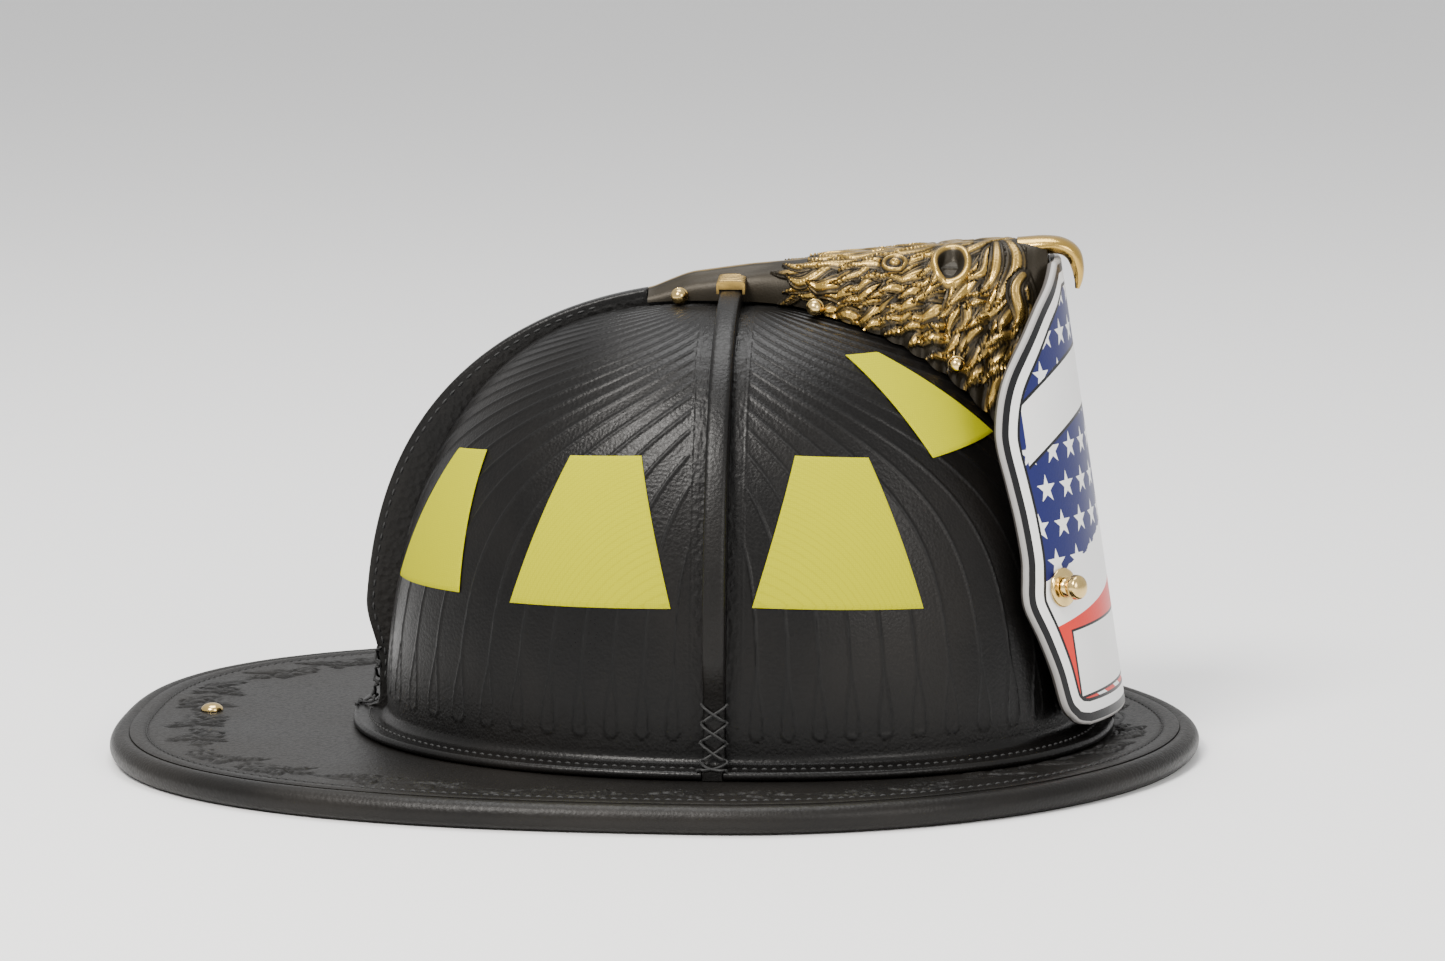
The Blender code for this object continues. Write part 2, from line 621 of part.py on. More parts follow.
def comb_profile(half_length, end=0):
    """Half outline of a comb in its own plane, (out from the crown's middle, up). The rear comb,
    whose end is 1, is trimmed under the holder's tail."""
    def crown_line(inset, first, last, count):
        line = []
        for climb in steps_between(first, last, count):
            across, upward = crown_share(climb)
            line.append(((half_length - inset) * across, FLANGE_TOP + (CROWN_RISE - inset) * upward))
        return line

    middle = COMB_MIDDLE
    crest_length = half_length + COMB_HEIGHT
    crest_rise = CROWN_RISE + COMB_APEX_HEIGHT
    crest = []
    for turn in steps_between(0.0, 90.0, COMB_STEPS):
        climb = math.radians(turn)
        out = crest_length * math.cos(climb) ** (2 / COMB_SIDE_POWER)
        up = FLANGE_TOP + crest_rise * math.sin(climb) ** (2 / COMB_TOP_POWER)
        grown = min(max((up - COMB_FOOT_TOP) / (COMB_FULL_FROM - COMB_FOOT_TOP), 0.0), 1.0)
        grown = grown * grown * (3 - 2 * grown)
        out -= (COMB_HEIGHT - COMB_FOOT) * (1 - grown)
        if up > FLANGE_TOP + FLANGE_FILLET and out > middle:
            crest.append((out, up))
    if end > 0:
        trim = HOLDER_TAIL + HOLDER_END_ROOM
        under_tail = [trim - GAP] + [-place for place, _ in RIDGE_LINE if middle < -place < trim - GAP]
        crest = [point for point in crest if point[0] > trim + GAP]
        crest.append((trim, comb_crest(-trim - GAP)))
        crest += [(out, comb_crest(-out)) for out in under_tail]
    crest.append((middle, FLANGE_TOP + crest_rise))
    flange = half_length + FLANGE_WIDTH
    foot = [(flange, FLANGE_UNDER), (flange, FLANGE_TOP), (half_length + COMB_FOOT + FLANGE_FILLET, FLANGE_TOP),
            (half_length + COMB_FOOT, FLANGE_TOP + FLANGE_FILLET)]
    inner = crown_line(PANEL_THICKNESS, math.radians(89.0), crown_climb(FLANGE_TOP), COMB_STEPS)
    inner = [point for point in inner if point[0] > middle]
    top = (middle, FLANGE_TOP + CROWN_RISE - PANEL_THICKNESS)
    return foot + crest + [top] + inner + [(half_length - PANEL_THICKNESS, FLANGE_UNDER)]


def make_combs():
    """Front and rear combs meet in the middle; the side combs butt against them."""
    holes = {"front": BOLTS[:2], "rear": BOLTS[2:]}
    for end, end_name in ((-1, "front"), (1, "rear")):
        outline = []
        for out, up in comb_profile(CROWN_LENGTH / 2, end):
            out = GAP / 2 if out == COMB_MIDDLE else out
            if end < 0:
                out = min(out, shield_back_over(0.0, up) - FACET_ROOM)
            outline.append((end * out, up))
        upright = Matrix.Translation((0, CROWN_Y, 0)) @ UPRIGHT_ALONG_Y
        comb = solid_plate(f"comb_{end_name}", outline, COMB_THICKNESS, LEATHER, upright)
        for forward, height in holes[end_name]:
            drill(comb, frame_at((0, CROWN_Y - forward, height), (1, 0, 0)), BOLT_RADIUS + GAP, 0.1)
    for side, side_name in ((1, "left"), (-1, "right")):
        outline = [(side * out, up) for out, up in comb_profile(CROWN_WIDTH / 2)]
        upright = Matrix.Translation((0, CROWN_Y, 0)) @ UPRIGHT_ALONG_X
        solid_plate(f"comb_{side_name}", outline, COMB_THICKNESS, LEATHER, upright)


def make_reflective_trim():
    """Eight cut patches, each given by its corners as (angle from the front, climb)."""
    shapes = {
        "rear": ((169.0, 145.5), (19.8, 20.4), (149.5, 159.3), (42.5, 41.7)),
        "mid_rear": ((133.6, 99.7), (20.0, 20.5), (109.7, 127.2), (43.8, 43.2)),
        "mid_front": ((82.1, 47.4), (20.8, 20.0), (53.2, 70.6), (43.4, 44.1)),
        "upper_front": ((38.2, 17.4), (42.6, 45.4), (35.4, 46.6), (65.5, 65.3)),
    }
    for name, (low_angles, low_climbs, top_angles, top_climbs) in shapes.items():
        for side, side_name in ((1, "left"), (-1, "right")):
            rows = []
            for up in steps_between(0.0, 1.0, 5):
                row = []
                for along in steps_between(0.0, 1.0, 6):
                    low = low_angles[1] + (low_angles[0] - low_angles[1]) * along
                    top = top_angles[0] + (top_angles[1] - top_angles[0]) * along
                    low_climb = low_climbs[1] + (low_climbs[0] - low_climbs[1]) * along
                    top_climb = top_climbs[0] + (top_climbs[1] - top_climbs[0]) * along
                    angle = math.radians(low + (top - low) * up)
                    climb = math.radians(low_climb + (top_climb - low_climb) * up)
                    point = crown_point(angle, climb, -TRIM_THICKNESS - TRIM_STANDOFF)
                    row.append(Vector((side * point.x, point.y, point.z)))
                rows.append(row if side > 0 else row[::-1])
            sheet(f"reflective_trim_{name}_{side_name}", rows, TRIM_THICKNESS, TRIM)


# Front holder

def holder_ridge(forward):
    return blend_value(RIDGE_LINE, forward)


def shield_front(height, arc_out):
    """How far forward of the crown's centre the shield's face is, at an arc from its middle."""
    lean = math.tan(math.radians(SHIELD_LEAN_DEGREES))
    return SHIELD_AT_TABLE - lean * height - SHIELD_BEND_RADIUS * (1 - math.cos(arc_out / SHIELD_BEND_RADIUS))


def shield_back_over(x, height):
    """How far forward the shield's back is at a sideways place and a height."""
    arc_out = SHIELD_BEND_RADIUS * math.asin(min(abs(x) / SHIELD_BEND_RADIUS, 1.0))
    return shield_front(height, arc_out) - SHIELD_THICKNESS * SHIELD_BACK_SHARE


def comb_crest(forward):
    """Height of the front and rear combs' crest, trimmed where the holder sits on it."""
    reach = CROWN_LENGTH / 2 + COMB_HEIGHT
    share = 1 - min(abs(forward) / reach, 1.0) ** COMB_SIDE_POWER
    crest = FLANGE_TOP + (CROWN_RISE + COMB_APEX_HEIGHT) * share ** (1 / COMB_TOP_POWER)
    if forward > -HOLDER_TAIL - HOLDER_END_ROOM:
        crest = min(crest, holder_ridge(forward) - HOLDER_WALL - GAP)
    return crest


def holder_skin(x, wide, top, forward):
    """Height of an outer or inner wall of the saddle at a sideways place."""
    foot = min(crown_height(x, forward) + HOLDER_FOOT_ROOM, top - 0.002)
    leaning = min(abs(x) / wide, 1.0) ** (1 / HOLDER_SIDE_POWER)
    share = math.sqrt(1 - leaning * leaning) ** HOLDER_ROUND
    return foot + (top - foot) * share


def holder_ring(forward):
    """One section of the saddle: over the outside, then back along the inside."""
    ridge = holder_ridge(forward)
    half = blend_value(HOLDER_SPREAD, forward)
    section = []
    for number in range(HOLDER_COLUMNS + 1):
        turn = math.cos(math.pi * number / HOLDER_COLUMNS)
        x = -half * math.copysign(abs(turn) ** HOLDER_SIDE_POWER, turn)
        section.append((x, holder_skin(x, half, ridge, forward)))
    comb_side = COMB_THICKNESS / 2 + GAP
    inner_half = max(half - HOLDER_WALL, comb_side + GAP)
    inner_top = ridge - HOLDER_WALL
    side = (inner_half + comb_side) / 2
    shoulder = min(holder_skin(comb_side, inner_half, inner_top, forward), inner_top)
    roof = max(comb_crest(forward) + GAP, shoulder + GAP)
    inside = [(inner_half, holder_skin(inner_half, inner_half, inner_top, forward)),
              (side, holder_skin(side, inner_half, inner_top, forward)),
              (comb_side, shoulder), (comb_side, roof)]
    section += inside + [(-x, up) for x, up in reversed(inside)]
    ring = []
    for x, up in section:
        place = min(forward, shield_back_over(x, up) - GAP)
        ring.append(Vector((x, CROWN_Y - place, up)))
    return ring


def make_holder():
    stations = [place for place, _ in HOLDER_SPREAD]
    stations = sorted(set(stations + [place for place, _ in RIDGE_LINE if place < HOLDER_BODY]))
    holder = loft("front_holder", [holder_ring(forward) for forward in stations], ANTIQUE_BRASS)

    beak_rings = []
    for forward, up, wide, tall in BEAK:
        ring = []
        for turn in steps_between(0.0, 2 * math.pi, 8)[:-1]:
            ring.append((forward, up, wide * math.cos(turn), tall * math.sin(turn)))
        beak_rings.append(ring)
    placed = []
    for number, ring in enumerate(beak_rings):
        before = BEAK[max(number - 1, 0)]
        after = BEAK[min(number + 1, len(BEAK) - 1)]
        along = Vector((0, -(after[0] - before[0]), after[1] - before[1])).normalized()
        over = Vector((1, 0, 0)).cross(along)
        placed.append([Vector((0, CROWN_Y - forward, up)) + Vector((1, 0, 0)) * x + over * y
                       for forward, up, x, y in ring])
    beak = loft("holder beak", placed, None, group=cutters)
    cut(holder, beak, 'UNION')

    arm_half = COMB_THICKNESS / 2 + GAP
    for side, side_name in ((1, "left"), (-1, "right")):
        rings = []
        for out in steps_between(COMB_MIDDLE / 2, HOLDER_ARM_REACH, 4):
            under = side_comb_crest(out) + GAP
            rings.append([Vector((side * out, CROWN_Y + across, up)) for across, up in
                          ((-arm_half, under), (arm_half, under), (arm_half, under + HOLDER_WALL),
                           (-arm_half, under + HOLDER_WALL))])
        arm = loft(f"holder arm {side_name}", rings, None, group=cutters)
        cut(holder, arm, 'UNION')
        rings = []
        for out in steps_between(COMB_MIDDLE - 2 * GAP, 2 * HOLDER_ARM_REACH, 5):
            over = side_comb_crest(out) + GAP * 0.9
            low = FLANGE_TOP + CROWN_RISE * 0.6
            rings.append([Vector((side * out, CROWN_Y + across, up)) for across, up in
                          ((-arm_half, low), (arm_half, low), (arm_half, over), (-arm_half, over))])
        room = loft(f"side comb room {side_name}", rings, None, group=cutters)
        cut(holder, room)
    for forward, height in BOLTS:
        drill(holder, frame_at((0, CROWN_Y - forward, height), (1, 0, 0)), BOLT_RADIUS + GAP, 0.1)


def side_comb_crest(out):
    reach = CROWN_WIDTH / 2 + COMB_HEIGHT
    share = 1 - min(out / reach, 1.0) ** COMB_SIDE_POWER
    return FLANGE_TOP + (CROWN_RISE + COMB_APEX_HEIGHT) * share ** (1 / COMB_TOP_POWER)


def holder_half_at(forward, height):
    """Half width of the holder's outside where a bolt comes through it."""
    half = blend_value(HOLDER_SPREAD, forward)
    low, high = 0.0, half
    for _ in range(30):
        middle = (low + high) / 2
        if holder_skin(middle, half, holder_ridge(forward), forward) > height:
            low = middle
        else:
            high = middle
    return low


def make_holder_bolts():
    for (forward, height), place in zip(BOLTS, ("front", "middle", "rear")):
        half = max(holder_half_at(forward + reach, height - reach) for reach in (-NUT_RADIUS, 0, NUT_RADIUS))
        half += GAP
        head = dome_profile(BOLT_HEAD_RADIUS, BOLT_HEAD_RISE, half)
        bolt = head + [(BOLT_RADIUS, half), (BOLT_RADIUS, -half - BOLT_END), (0.0, -half - BOLT_END)]
        turned(f"holder_bolt_{place}", bolt, BRASS, frame_at((0, CROWN_Y - forward, height), (1, 0, 0)), 14)
        inner = BOLT_RADIUS + GAP
        nut = [(0.0, half + BOLT_END + NUT_RADIUS), (NUT_RADIUS * 0.72, half + BOLT_END + NUT_RADIUS * 0.70),
               (NUT_RADIUS, half + BOLT_END), (NUT_RADIUS, half), (inner, half), (inner, half + BOLT_END + GAP),
               (0.0, half + BOLT_END + GAP)]
        turned(f"holder_nut_{place}", nut, BRASS, frame_at((0, CROWN_Y - forward, height), (-1, 0, 0)), 14)


def dome_profile(radius, rise, seat):
    """Outline of a domed head from its top down to its seat."""
    points = []
    for turn in (90, 60, 30, 0):
        angle = math.radians(turn)
        points.append((radius * math.cos(angle), seat + rise * math.sin(angle)))
    points[0] = (0.0, seat + rise)
    return points


# Front shield and what holds it to the crown

def shield_point(height, arc_out, proud=0.0):
    turn = arc_out / SHIELD_BEND_RADIUS
    lean = math.tan(math.radians(SHIELD_LEAN_DEGREES))
    place = Vector((SHIELD_BEND_RADIUS * math.sin(turn), CROWN_Y - shield_front(height, arc_out), height))
    normal = Vector((math.sin(turn), -math.cos(turn), lean * math.cos(turn))).normalized()
    return place + normal * proud, normal


def shield_screw_frame(side, proud=0.0):
    place, normal = shield_point(SHIELD_SCREW_HEIGHT, side * SHIELD_SCREW_ARC, proud)
    return frame_at(place, normal)


def make_shield():
    rows = []
    for share, half in SHIELD_OUTLINE:
        height = SHIELD_BOTTOM + (SHIELD_TOP - SHIELD_BOTTOM) * share
        half = SHIELD_HALF_WIDTH * half
        rows.append([shield_point(height, arc_out)[0] for arc_out in steps_between(-half, half, 12)])
    shield = sheet("front_shield", rows, SHIELD_THICKNESS, SHIELD_LEATHER)
    for side in (1, -1):
        drill(shield, shield_screw_frame(side), SCREW_RADIUS + GAP, 0.030)


def reach_to_crown(matrix, radius, inset):
    """Shortest and longest way from a screw's seat to the crown, around a ring of a radius."""
    ways = []
    inward = -(matrix.to_3x3() @ Vector((0, 0, 1)))
    for turn in ring_angles(12):
        start = matrix @ Vector((radius * math.cos(turn), radius * math.sin(turn), 0.0))
        low, high = 0.0, 0.040
        for _ in range(30):
            middle = (low + high) / 2
            point = start + inward * middle
            if crown_height(point.x, CROWN_Y - point.y, inset) > point.z:
                high = middle
            else:
                low = middle
        ways.append(low)
    return min(ways), max(ways)


def make_shield_screws():
    for side, side_name in ((1, "left"), (-1, "right")):
        seat = shield_screw_frame(side)
        nearest, _ = reach_to_crown(seat, SPACER_RADIUS, 0.0)
        _, inside = reach_to_crown(seat, SCREW_NUT_RADIUS, PANEL_THICKNESS)
        washer_under = WASHER_SEAT
        washer_top = washer_under + WASHER_THICKNESS
        hole = SCREW_RADIUS + GAP
        turned(f"shield_washer_{side_name}", [(hole, washer_top), (WASHER_RADIUS, washer_top),
                                              (WASHER_RADIUS, washer_under), (hole, washer_under)], BRASS, seat, 18)
        knob_seat = washer_top + GAP
        nut_top = -inside - SHELL_ROOM
        end = nut_top - SCREW_NUT_HEIGHT
        knob = [(radius, knob_seat + rise) for radius, rise in KNOB_PROFILE]
        knob += [(SCREW_RADIUS, knob_seat), (SCREW_RADIUS, end), (0.0, end)]
        turned(f"shield_screw_{side_name}", knob, BRASS, seat, 16)
        behind = -SHIELD_THICKNESS - FACET_ROOM
        turned(f"shield_spacer_{side_name}", [(hole, behind), (SPACER_RADIUS, behind),
                                              (SPACER_RADIUS, -nearest + GAP), (hole, -nearest + GAP)],
               PLASTIC, seat, 16)
        nut_hole = hole / math.cos(math.pi / SCREW_NUT_SIDES)
        turned(f"shield_nut_{side_name}", [(nut_hole, nut_top), (SCREW_NUT_RADIUS, nut_top),
                                           (SCREW_NUT_RADIUS, end), (nut_hole, end)], STEEL, seat, SCREW_NUT_SIDES)


# Hanger under the rear brim

def make_hanger():
    over = Matrix.Translation((0, HANGER_Y, 0))
    head = dome_profile(RIVET_HEAD_RADIUS, RIVET_HEAD_RISE, BRIM_TOP + GAP)
    plate_top = BRIM_UNDER - GAP
    plate_under = plate_top - HANGER_PLATE[1]
    tail_top = plate_under - GAP
    rivet = head + [(RIVET_RADIUS, BRIM_TOP + GAP), (RIVET_RADIUS, tail_top), (0.0030, tail_top),
                    (0.0024, tail_top - 0.001), (0.0, tail_top - 0.001)]
    turned("hanger_rivet", rivet, BRASS, over, 18)

    half = HANGER_PLATE[0] / 2
    barrel_reach = HANGER_Y - HANGER_BAR_Y
    slab = box("hanger_plate", (HANGER_PLATE[0], barrel_reach + 0.0062, HANGER_PLATE[1]),
               (0, HANGER_Y - barrel_reach / 2 + 0.0028, (plate_top + plate_under) / 2), STEEL)
    bpy.ops.mesh.primitive_cylinder_add(vertices=16, radius=HANGER_BARREL_RADIUS,
                                        depth=HANGER_PLATE[0] * HANGER_BARREL_SHARE)
    barrel = bpy.context.active_object
    barrel.name = "hanger barrel"
    barrel.matrix_world = frame_at((0, HANGER_BAR_Y, HANGER_BAR_Z), (1, 0, 0))
    move_to(barrel, cutters)
    cut(slab, barrel, 'UNION')
    drill(slab, frame_at((0, HANGER_BAR_Y, HANGER_BAR_Z), (1, 0, 0)), HANGER_RING_WIRE + GAP, THROUGH, 12)
    drill(slab, over, RIVET_RADIUS + GAP, THROUGH)

    ring = bpy.data.curves.new("hanger_ring", 'CURVE')
    ring.dimensions = '3D'
    ring.bevel_depth = HANGER_RING_WIRE
    ring.bevel_resolution = 1
    reach = HANGER_RING_LENGTH
    corners = [(half, 0.0), (half, -reach * 0.45)]
    corners += [(half * math.cos(turn), -reach * 0.45 - reach * 0.55 * math.sin(turn))
                for turn in steps_between(0.0, math.pi, 8)[1:]]
    corners += [(-half, 0.0)]
    spline = ring.splines.new('POLY')
    spline.points.add(len(corners) - 1)
    for point, (x, y) in zip(spline.points, corners):
        point.co = (x, y, 0.0, 1.0)
    spline.use_cyclic_u = True
    item = add_object("hanger_ring", ring, STEEL)
    item.location = (0, HANGER_BAR_Y, HANGER_BAR_Z)


# Inner shell, foam and crown straps

def inner_shell(name, inset, bottom, thickness, finish, count, climbs):
    """A closed-top shell that follows the crown's inside from a height upwards."""
    rows = []
    for climb in steps_between(crown_climb(bottom, inset), math.radians(84.0), climbs):
        rows.append([crown_point(angle, climb, inset) for angle in ring_angles(count)])
    pole = Vector((0, CROWN_Y, FLANGE_TOP + CROWN_RISE - inset))
    return sheet(name, rows, thickness, finish, cyclic=True, pole=pole)


def make_inner_shells():
    cap = inner_shell("impact_cap", CAP_INSET, CAP_BOTTOM, CAP_THICKNESS, CAP_PLASTIC, 32, 7)
    for side in (1, -1):
        drill(cap, shield_screw_frame(side), SCREW_NUT_RADIUS + 0.0015, 0.060)
    inner_shell("foam_liner", FOAM_INSET, FOAM_BOTTOM, FOAM_THICKNESS, FOAM, 32, 5)


def ribbon(name, stations, finish):
    """A flat strap: each station is (middle, across, outward, width, thickness)."""
    rings = []
    for middle, across, outward, width, thickness in stations:
        side, face = across * (width / 2), outward * (thickness / 2)
        rings.append([middle - side - face, middle + side - face, middle + side + face, middle - side + face])
    return loft(name, rings, finish)


def strap_point(angle, climb, level):
    across, upward = crown_share(climb)
    top = FLANGE_TOP + CROWN_RISE - STRAP_INSET - STRAP_ROOM - level * (STRAP_THICKNESS + 2 * GAP)
    radius = crown_radius(angle, STRAP_INSET) * across
    return plan_point(angle, radius, FLANGE_TOP + (top - FLANGE_TOP) * upward, CROWN_Y)


def strap_start(level):
    top = CROWN_RISE - STRAP_INSET - STRAP_ROOM - level * (STRAP_THICKNESS + 2 * GAP)
    share = (STRAP_BOTTOM - FLANGE_TOP) / top
    return math.asin(share ** (CROWN_TOP_POWER / 2))


def make_crown_straps():
    turn = math.radians(STRAP_DEGREES)
    for level, (name, angle) in enumerate((("crown_strap_left_front", turn), ("crown_strap_right_front", -turn))):
        climbs = steps_between(strap_start(level), math.pi / 2, 8)
        path = [strap_point(angle, climb, level) for climb in climbs]
        path += [strap_point(angle + math.pi, climb, level) for climb in reversed(climbs[:-1])]
        across = Vector((math.cos(angle), math.sin(angle), 0.0))
        stations = []
        for number, place in enumerate(path):
            along = path[min(number + 1, len(path) - 1)] - path[max(number - 1, 0)]
            stations.append((place, across, along.cross(across).normalized(), STRAP_WIDTH, STRAP_THICKNESS))
        ribbon(name, stations, WEBBING)
        for end, foot in (("front", path[0]), ("rear", path[-1])):
            side = "left" if foot.x > 0 else "right"
            place = (foot.x, foot.y, BAND_BOTTOM + BAND_HEIGHT + GAP + KEY_SIZE[2] / 2)
            key = box(f"strap_key_{end}_{side}", KEY_SIZE, (0, 0, 0), PLASTIC, bevel=0.0008)
            key.rotation_euler = (0, 0, math.atan2(across.y, across.x))
            key.location = place


# Headband, brow pad and nape ratchet

def band_stations(inset, first, last, count, height, thickness):
    """Stations of a band round the head, angles turned from the front."""
    stations = []
    for angle in steps_between(first, last, count):
        def place(turn):
            length, width = HEAD_HALF_LENGTH + inset, HEAD_HALF_WIDTH + inset
            radius = plan_radius(turn, length, length, width, 2.0, 2.0)
            return plan_point(turn, radius, 0.0, HEAD_Y)
        along = place(angle + 0.001) - place(angle - 0.001)
        outward = Vector((along.y, -along.x, 0.0)).normalized()
        middle = place(angle) + outward * thickness / 2
        middle.z = BAND_BOTTOM + BAND_HEIGHT / 2
        stations.append((middle, Vector((0, 0, 1)), outward, height, thickness))
    return stations


def make_headband():
    reach = math.pi - math.radians(BAND_GAP_DEGREES)
    ribbon("headband", band_stations(0.0, -reach, reach, 40, BAND_HEIGHT, BAND_THICKNESS), PLASTIC)
    pad = math.radians(BROW_PAD_DEGREES)
    inset = -BROW_PAD_THICKNESS - FACET_ROOM
    ribbon("brow_pad", band_stations(inset, -pad, pad, 20, BAND_HEIGHT, BROW_PAD_THICKNESS), PAD_LEATHER)


def nape_point(degrees, radius, height):
    """A point on an arc round the nape's centre, degrees from the rear towards the left."""
    turn = math.radians(degrees)
    return Vector((radius * math.sin(turn), NAPE_Y + radius * math.cos(turn), height))


def nape_block(name, degrees, radii, heights, finish, group=None):
    rings = []
    for turn in degrees:
        rings.append([nape_point(turn, radius, height) for radius, height in
                      ((radii[0], heights[0]), (radii[1], heights[0]), (radii[1], heights[1]),
                       (radii[0], heights[1]))])
    return loft(name, rings, finish, group=group)


def make_ratchet():
    rack_low, rack_high = PINION_RADIUS + GAP, PINION_RADIUS + GAP + TAIL_RACK_HEIGHT
    for side, side_name in ((1, "left"), (-1, "right")):
        rings = []
        turns = steps_between(-TAIL_TIP_DEGREES, TAIL_PLATE_DEGREES[0], 8)
        turns += steps_between(TAIL_PLATE_DEGREES[0] + 0.4, TAIL_PLATE_DEGREES[1], 2)
        for turn in turns:
            low, high = (rack_low, rack_high) if turn <= TAIL_PLATE_DEGREES[0] else (-rack_high, rack_high)
            low, high = sorted((side * low, side * high))
            rings.append([nape_point(side * turn, radius, NAPE_HEIGHT + up) for radius, up in
                          ((TAIL_RADIUS, low), (TAIL_RADIUS + TAIL_THICKNESS, low),
                           (TAIL_RADIUS + TAIL_THICKNESS, high), (TAIL_RADIUS, high))])
        loft(f"band_tail_{side_name}", rings, PLASTIC)

    inner, outer = TAIL_RADIUS - GAP, TAIL_RADIUS + TAIL_THICKNESS + GAP
    turns = steps_between(-HOUSING_DEGREES, HOUSING_DEGREES, 8)
    housing = nape_block("ratchet_housing", turns, (inner - HOUSING_WALL, outer + HOUSING_WALL),
                         (NAPE_HEIGHT - HOUSING_HEIGHT / 2, NAPE_HEIGHT + HOUSING_HEIGHT / 2), PLASTIC)
    channel_turns = [turn * 1.2 for turn in turns]
    channel = nape_block("ratchet channel", channel_turns, (inner, outer),
                         (NAPE_HEIGHT - rack_high - GAP, NAPE_HEIGHT + rack_high + GAP), None, cutters)
    cut(housing, channel)
    hole_middle = NAPE_Y + outer + HOUSING_WALL
    drill(housing, frame_at((0, hole_middle, NAPE_HEIGHT), (0, 1, 0)), PINION_SHAFT_RADIUS + GAP,
          2 * HOUSING_WALL + TAIL_THICKNESS)

    knob_seat = outer + HOUSING_WALL + GAP
    axis = frame_at((0, NAPE_Y, NAPE_HEIGHT), (0, 1, 0))
    pinion = [(0.0, knob_seat - GAP), (PINION_SHAFT_RADIUS, knob_seat - GAP), (PINION_SHAFT_RADIUS, outer - 2 * GAP),
              (PINION_RADIUS - GAP, outer - 2 * GAP), (PINION_RADIUS - GAP, inner + GAP), (0.0, inner + GAP)]
    turned("ratchet_pinion", pinion, PLASTIC, axis, 16)
    knob_end = knob_seat + KNOB_LENGTH
    knob = [(0.0, knob_end), (KNOB_RADIUS - 0.0022, knob_end), (KNOB_RADIUS - 0.0006, knob_end - 0.0012),
            (KNOB_RADIUS - 0.0006, knob_seat + 0.0016), (KNOB_RADIUS, knob_seat + 0.0010),
            (KNOB_RADIUS, knob_seat), (0.0, knob_seat)]
    turned("ratchet_knob", knob, PLASTIC, axis, 24)


def make_flap():
    rows = []
    for share in steps_between(0.0, 1.0, 4):
        height = FLAP_BOTTOM + FLAP_HEIGHT * share
        climb = crown_climb(max(height, FLANGE_TOP), FLAP_INSET)
        row = []
        for turn in steps_between(FLAP_START_DEGREES, 360 - FLAP_START_DEGREES, 24):
            point = crown_point(math.radians(turn), climb, FLAP_INSET)
            row.append(Vector((point.x, point.y, height)))
        rows.append(row)
    sheet("ear_neck_flap", rows, FLAP_THICKNESS, FLAP_CLOTH)


# Chin strap

def smooth_path(points, pieces):
    """Points on a Catmull-Rom curve through hand-set ones."""
    path = []
    padded = [points[0]] + list(points) + [points[-1]]
    for first, second, third, fourth in zip(padded, padded[1:], padded[2:], padded[3:]):
        for number in range(pieces):
            t = number / pieces
            path.append(0.5 * (2 * second + (third - first) * t
                               + (2 * first - 5 * second + 4 * third - fourth) * t ** 2
                               + (3 * second - first - 3 * third + fourth) * t ** 3))
    path.append(points[-1])
    return path


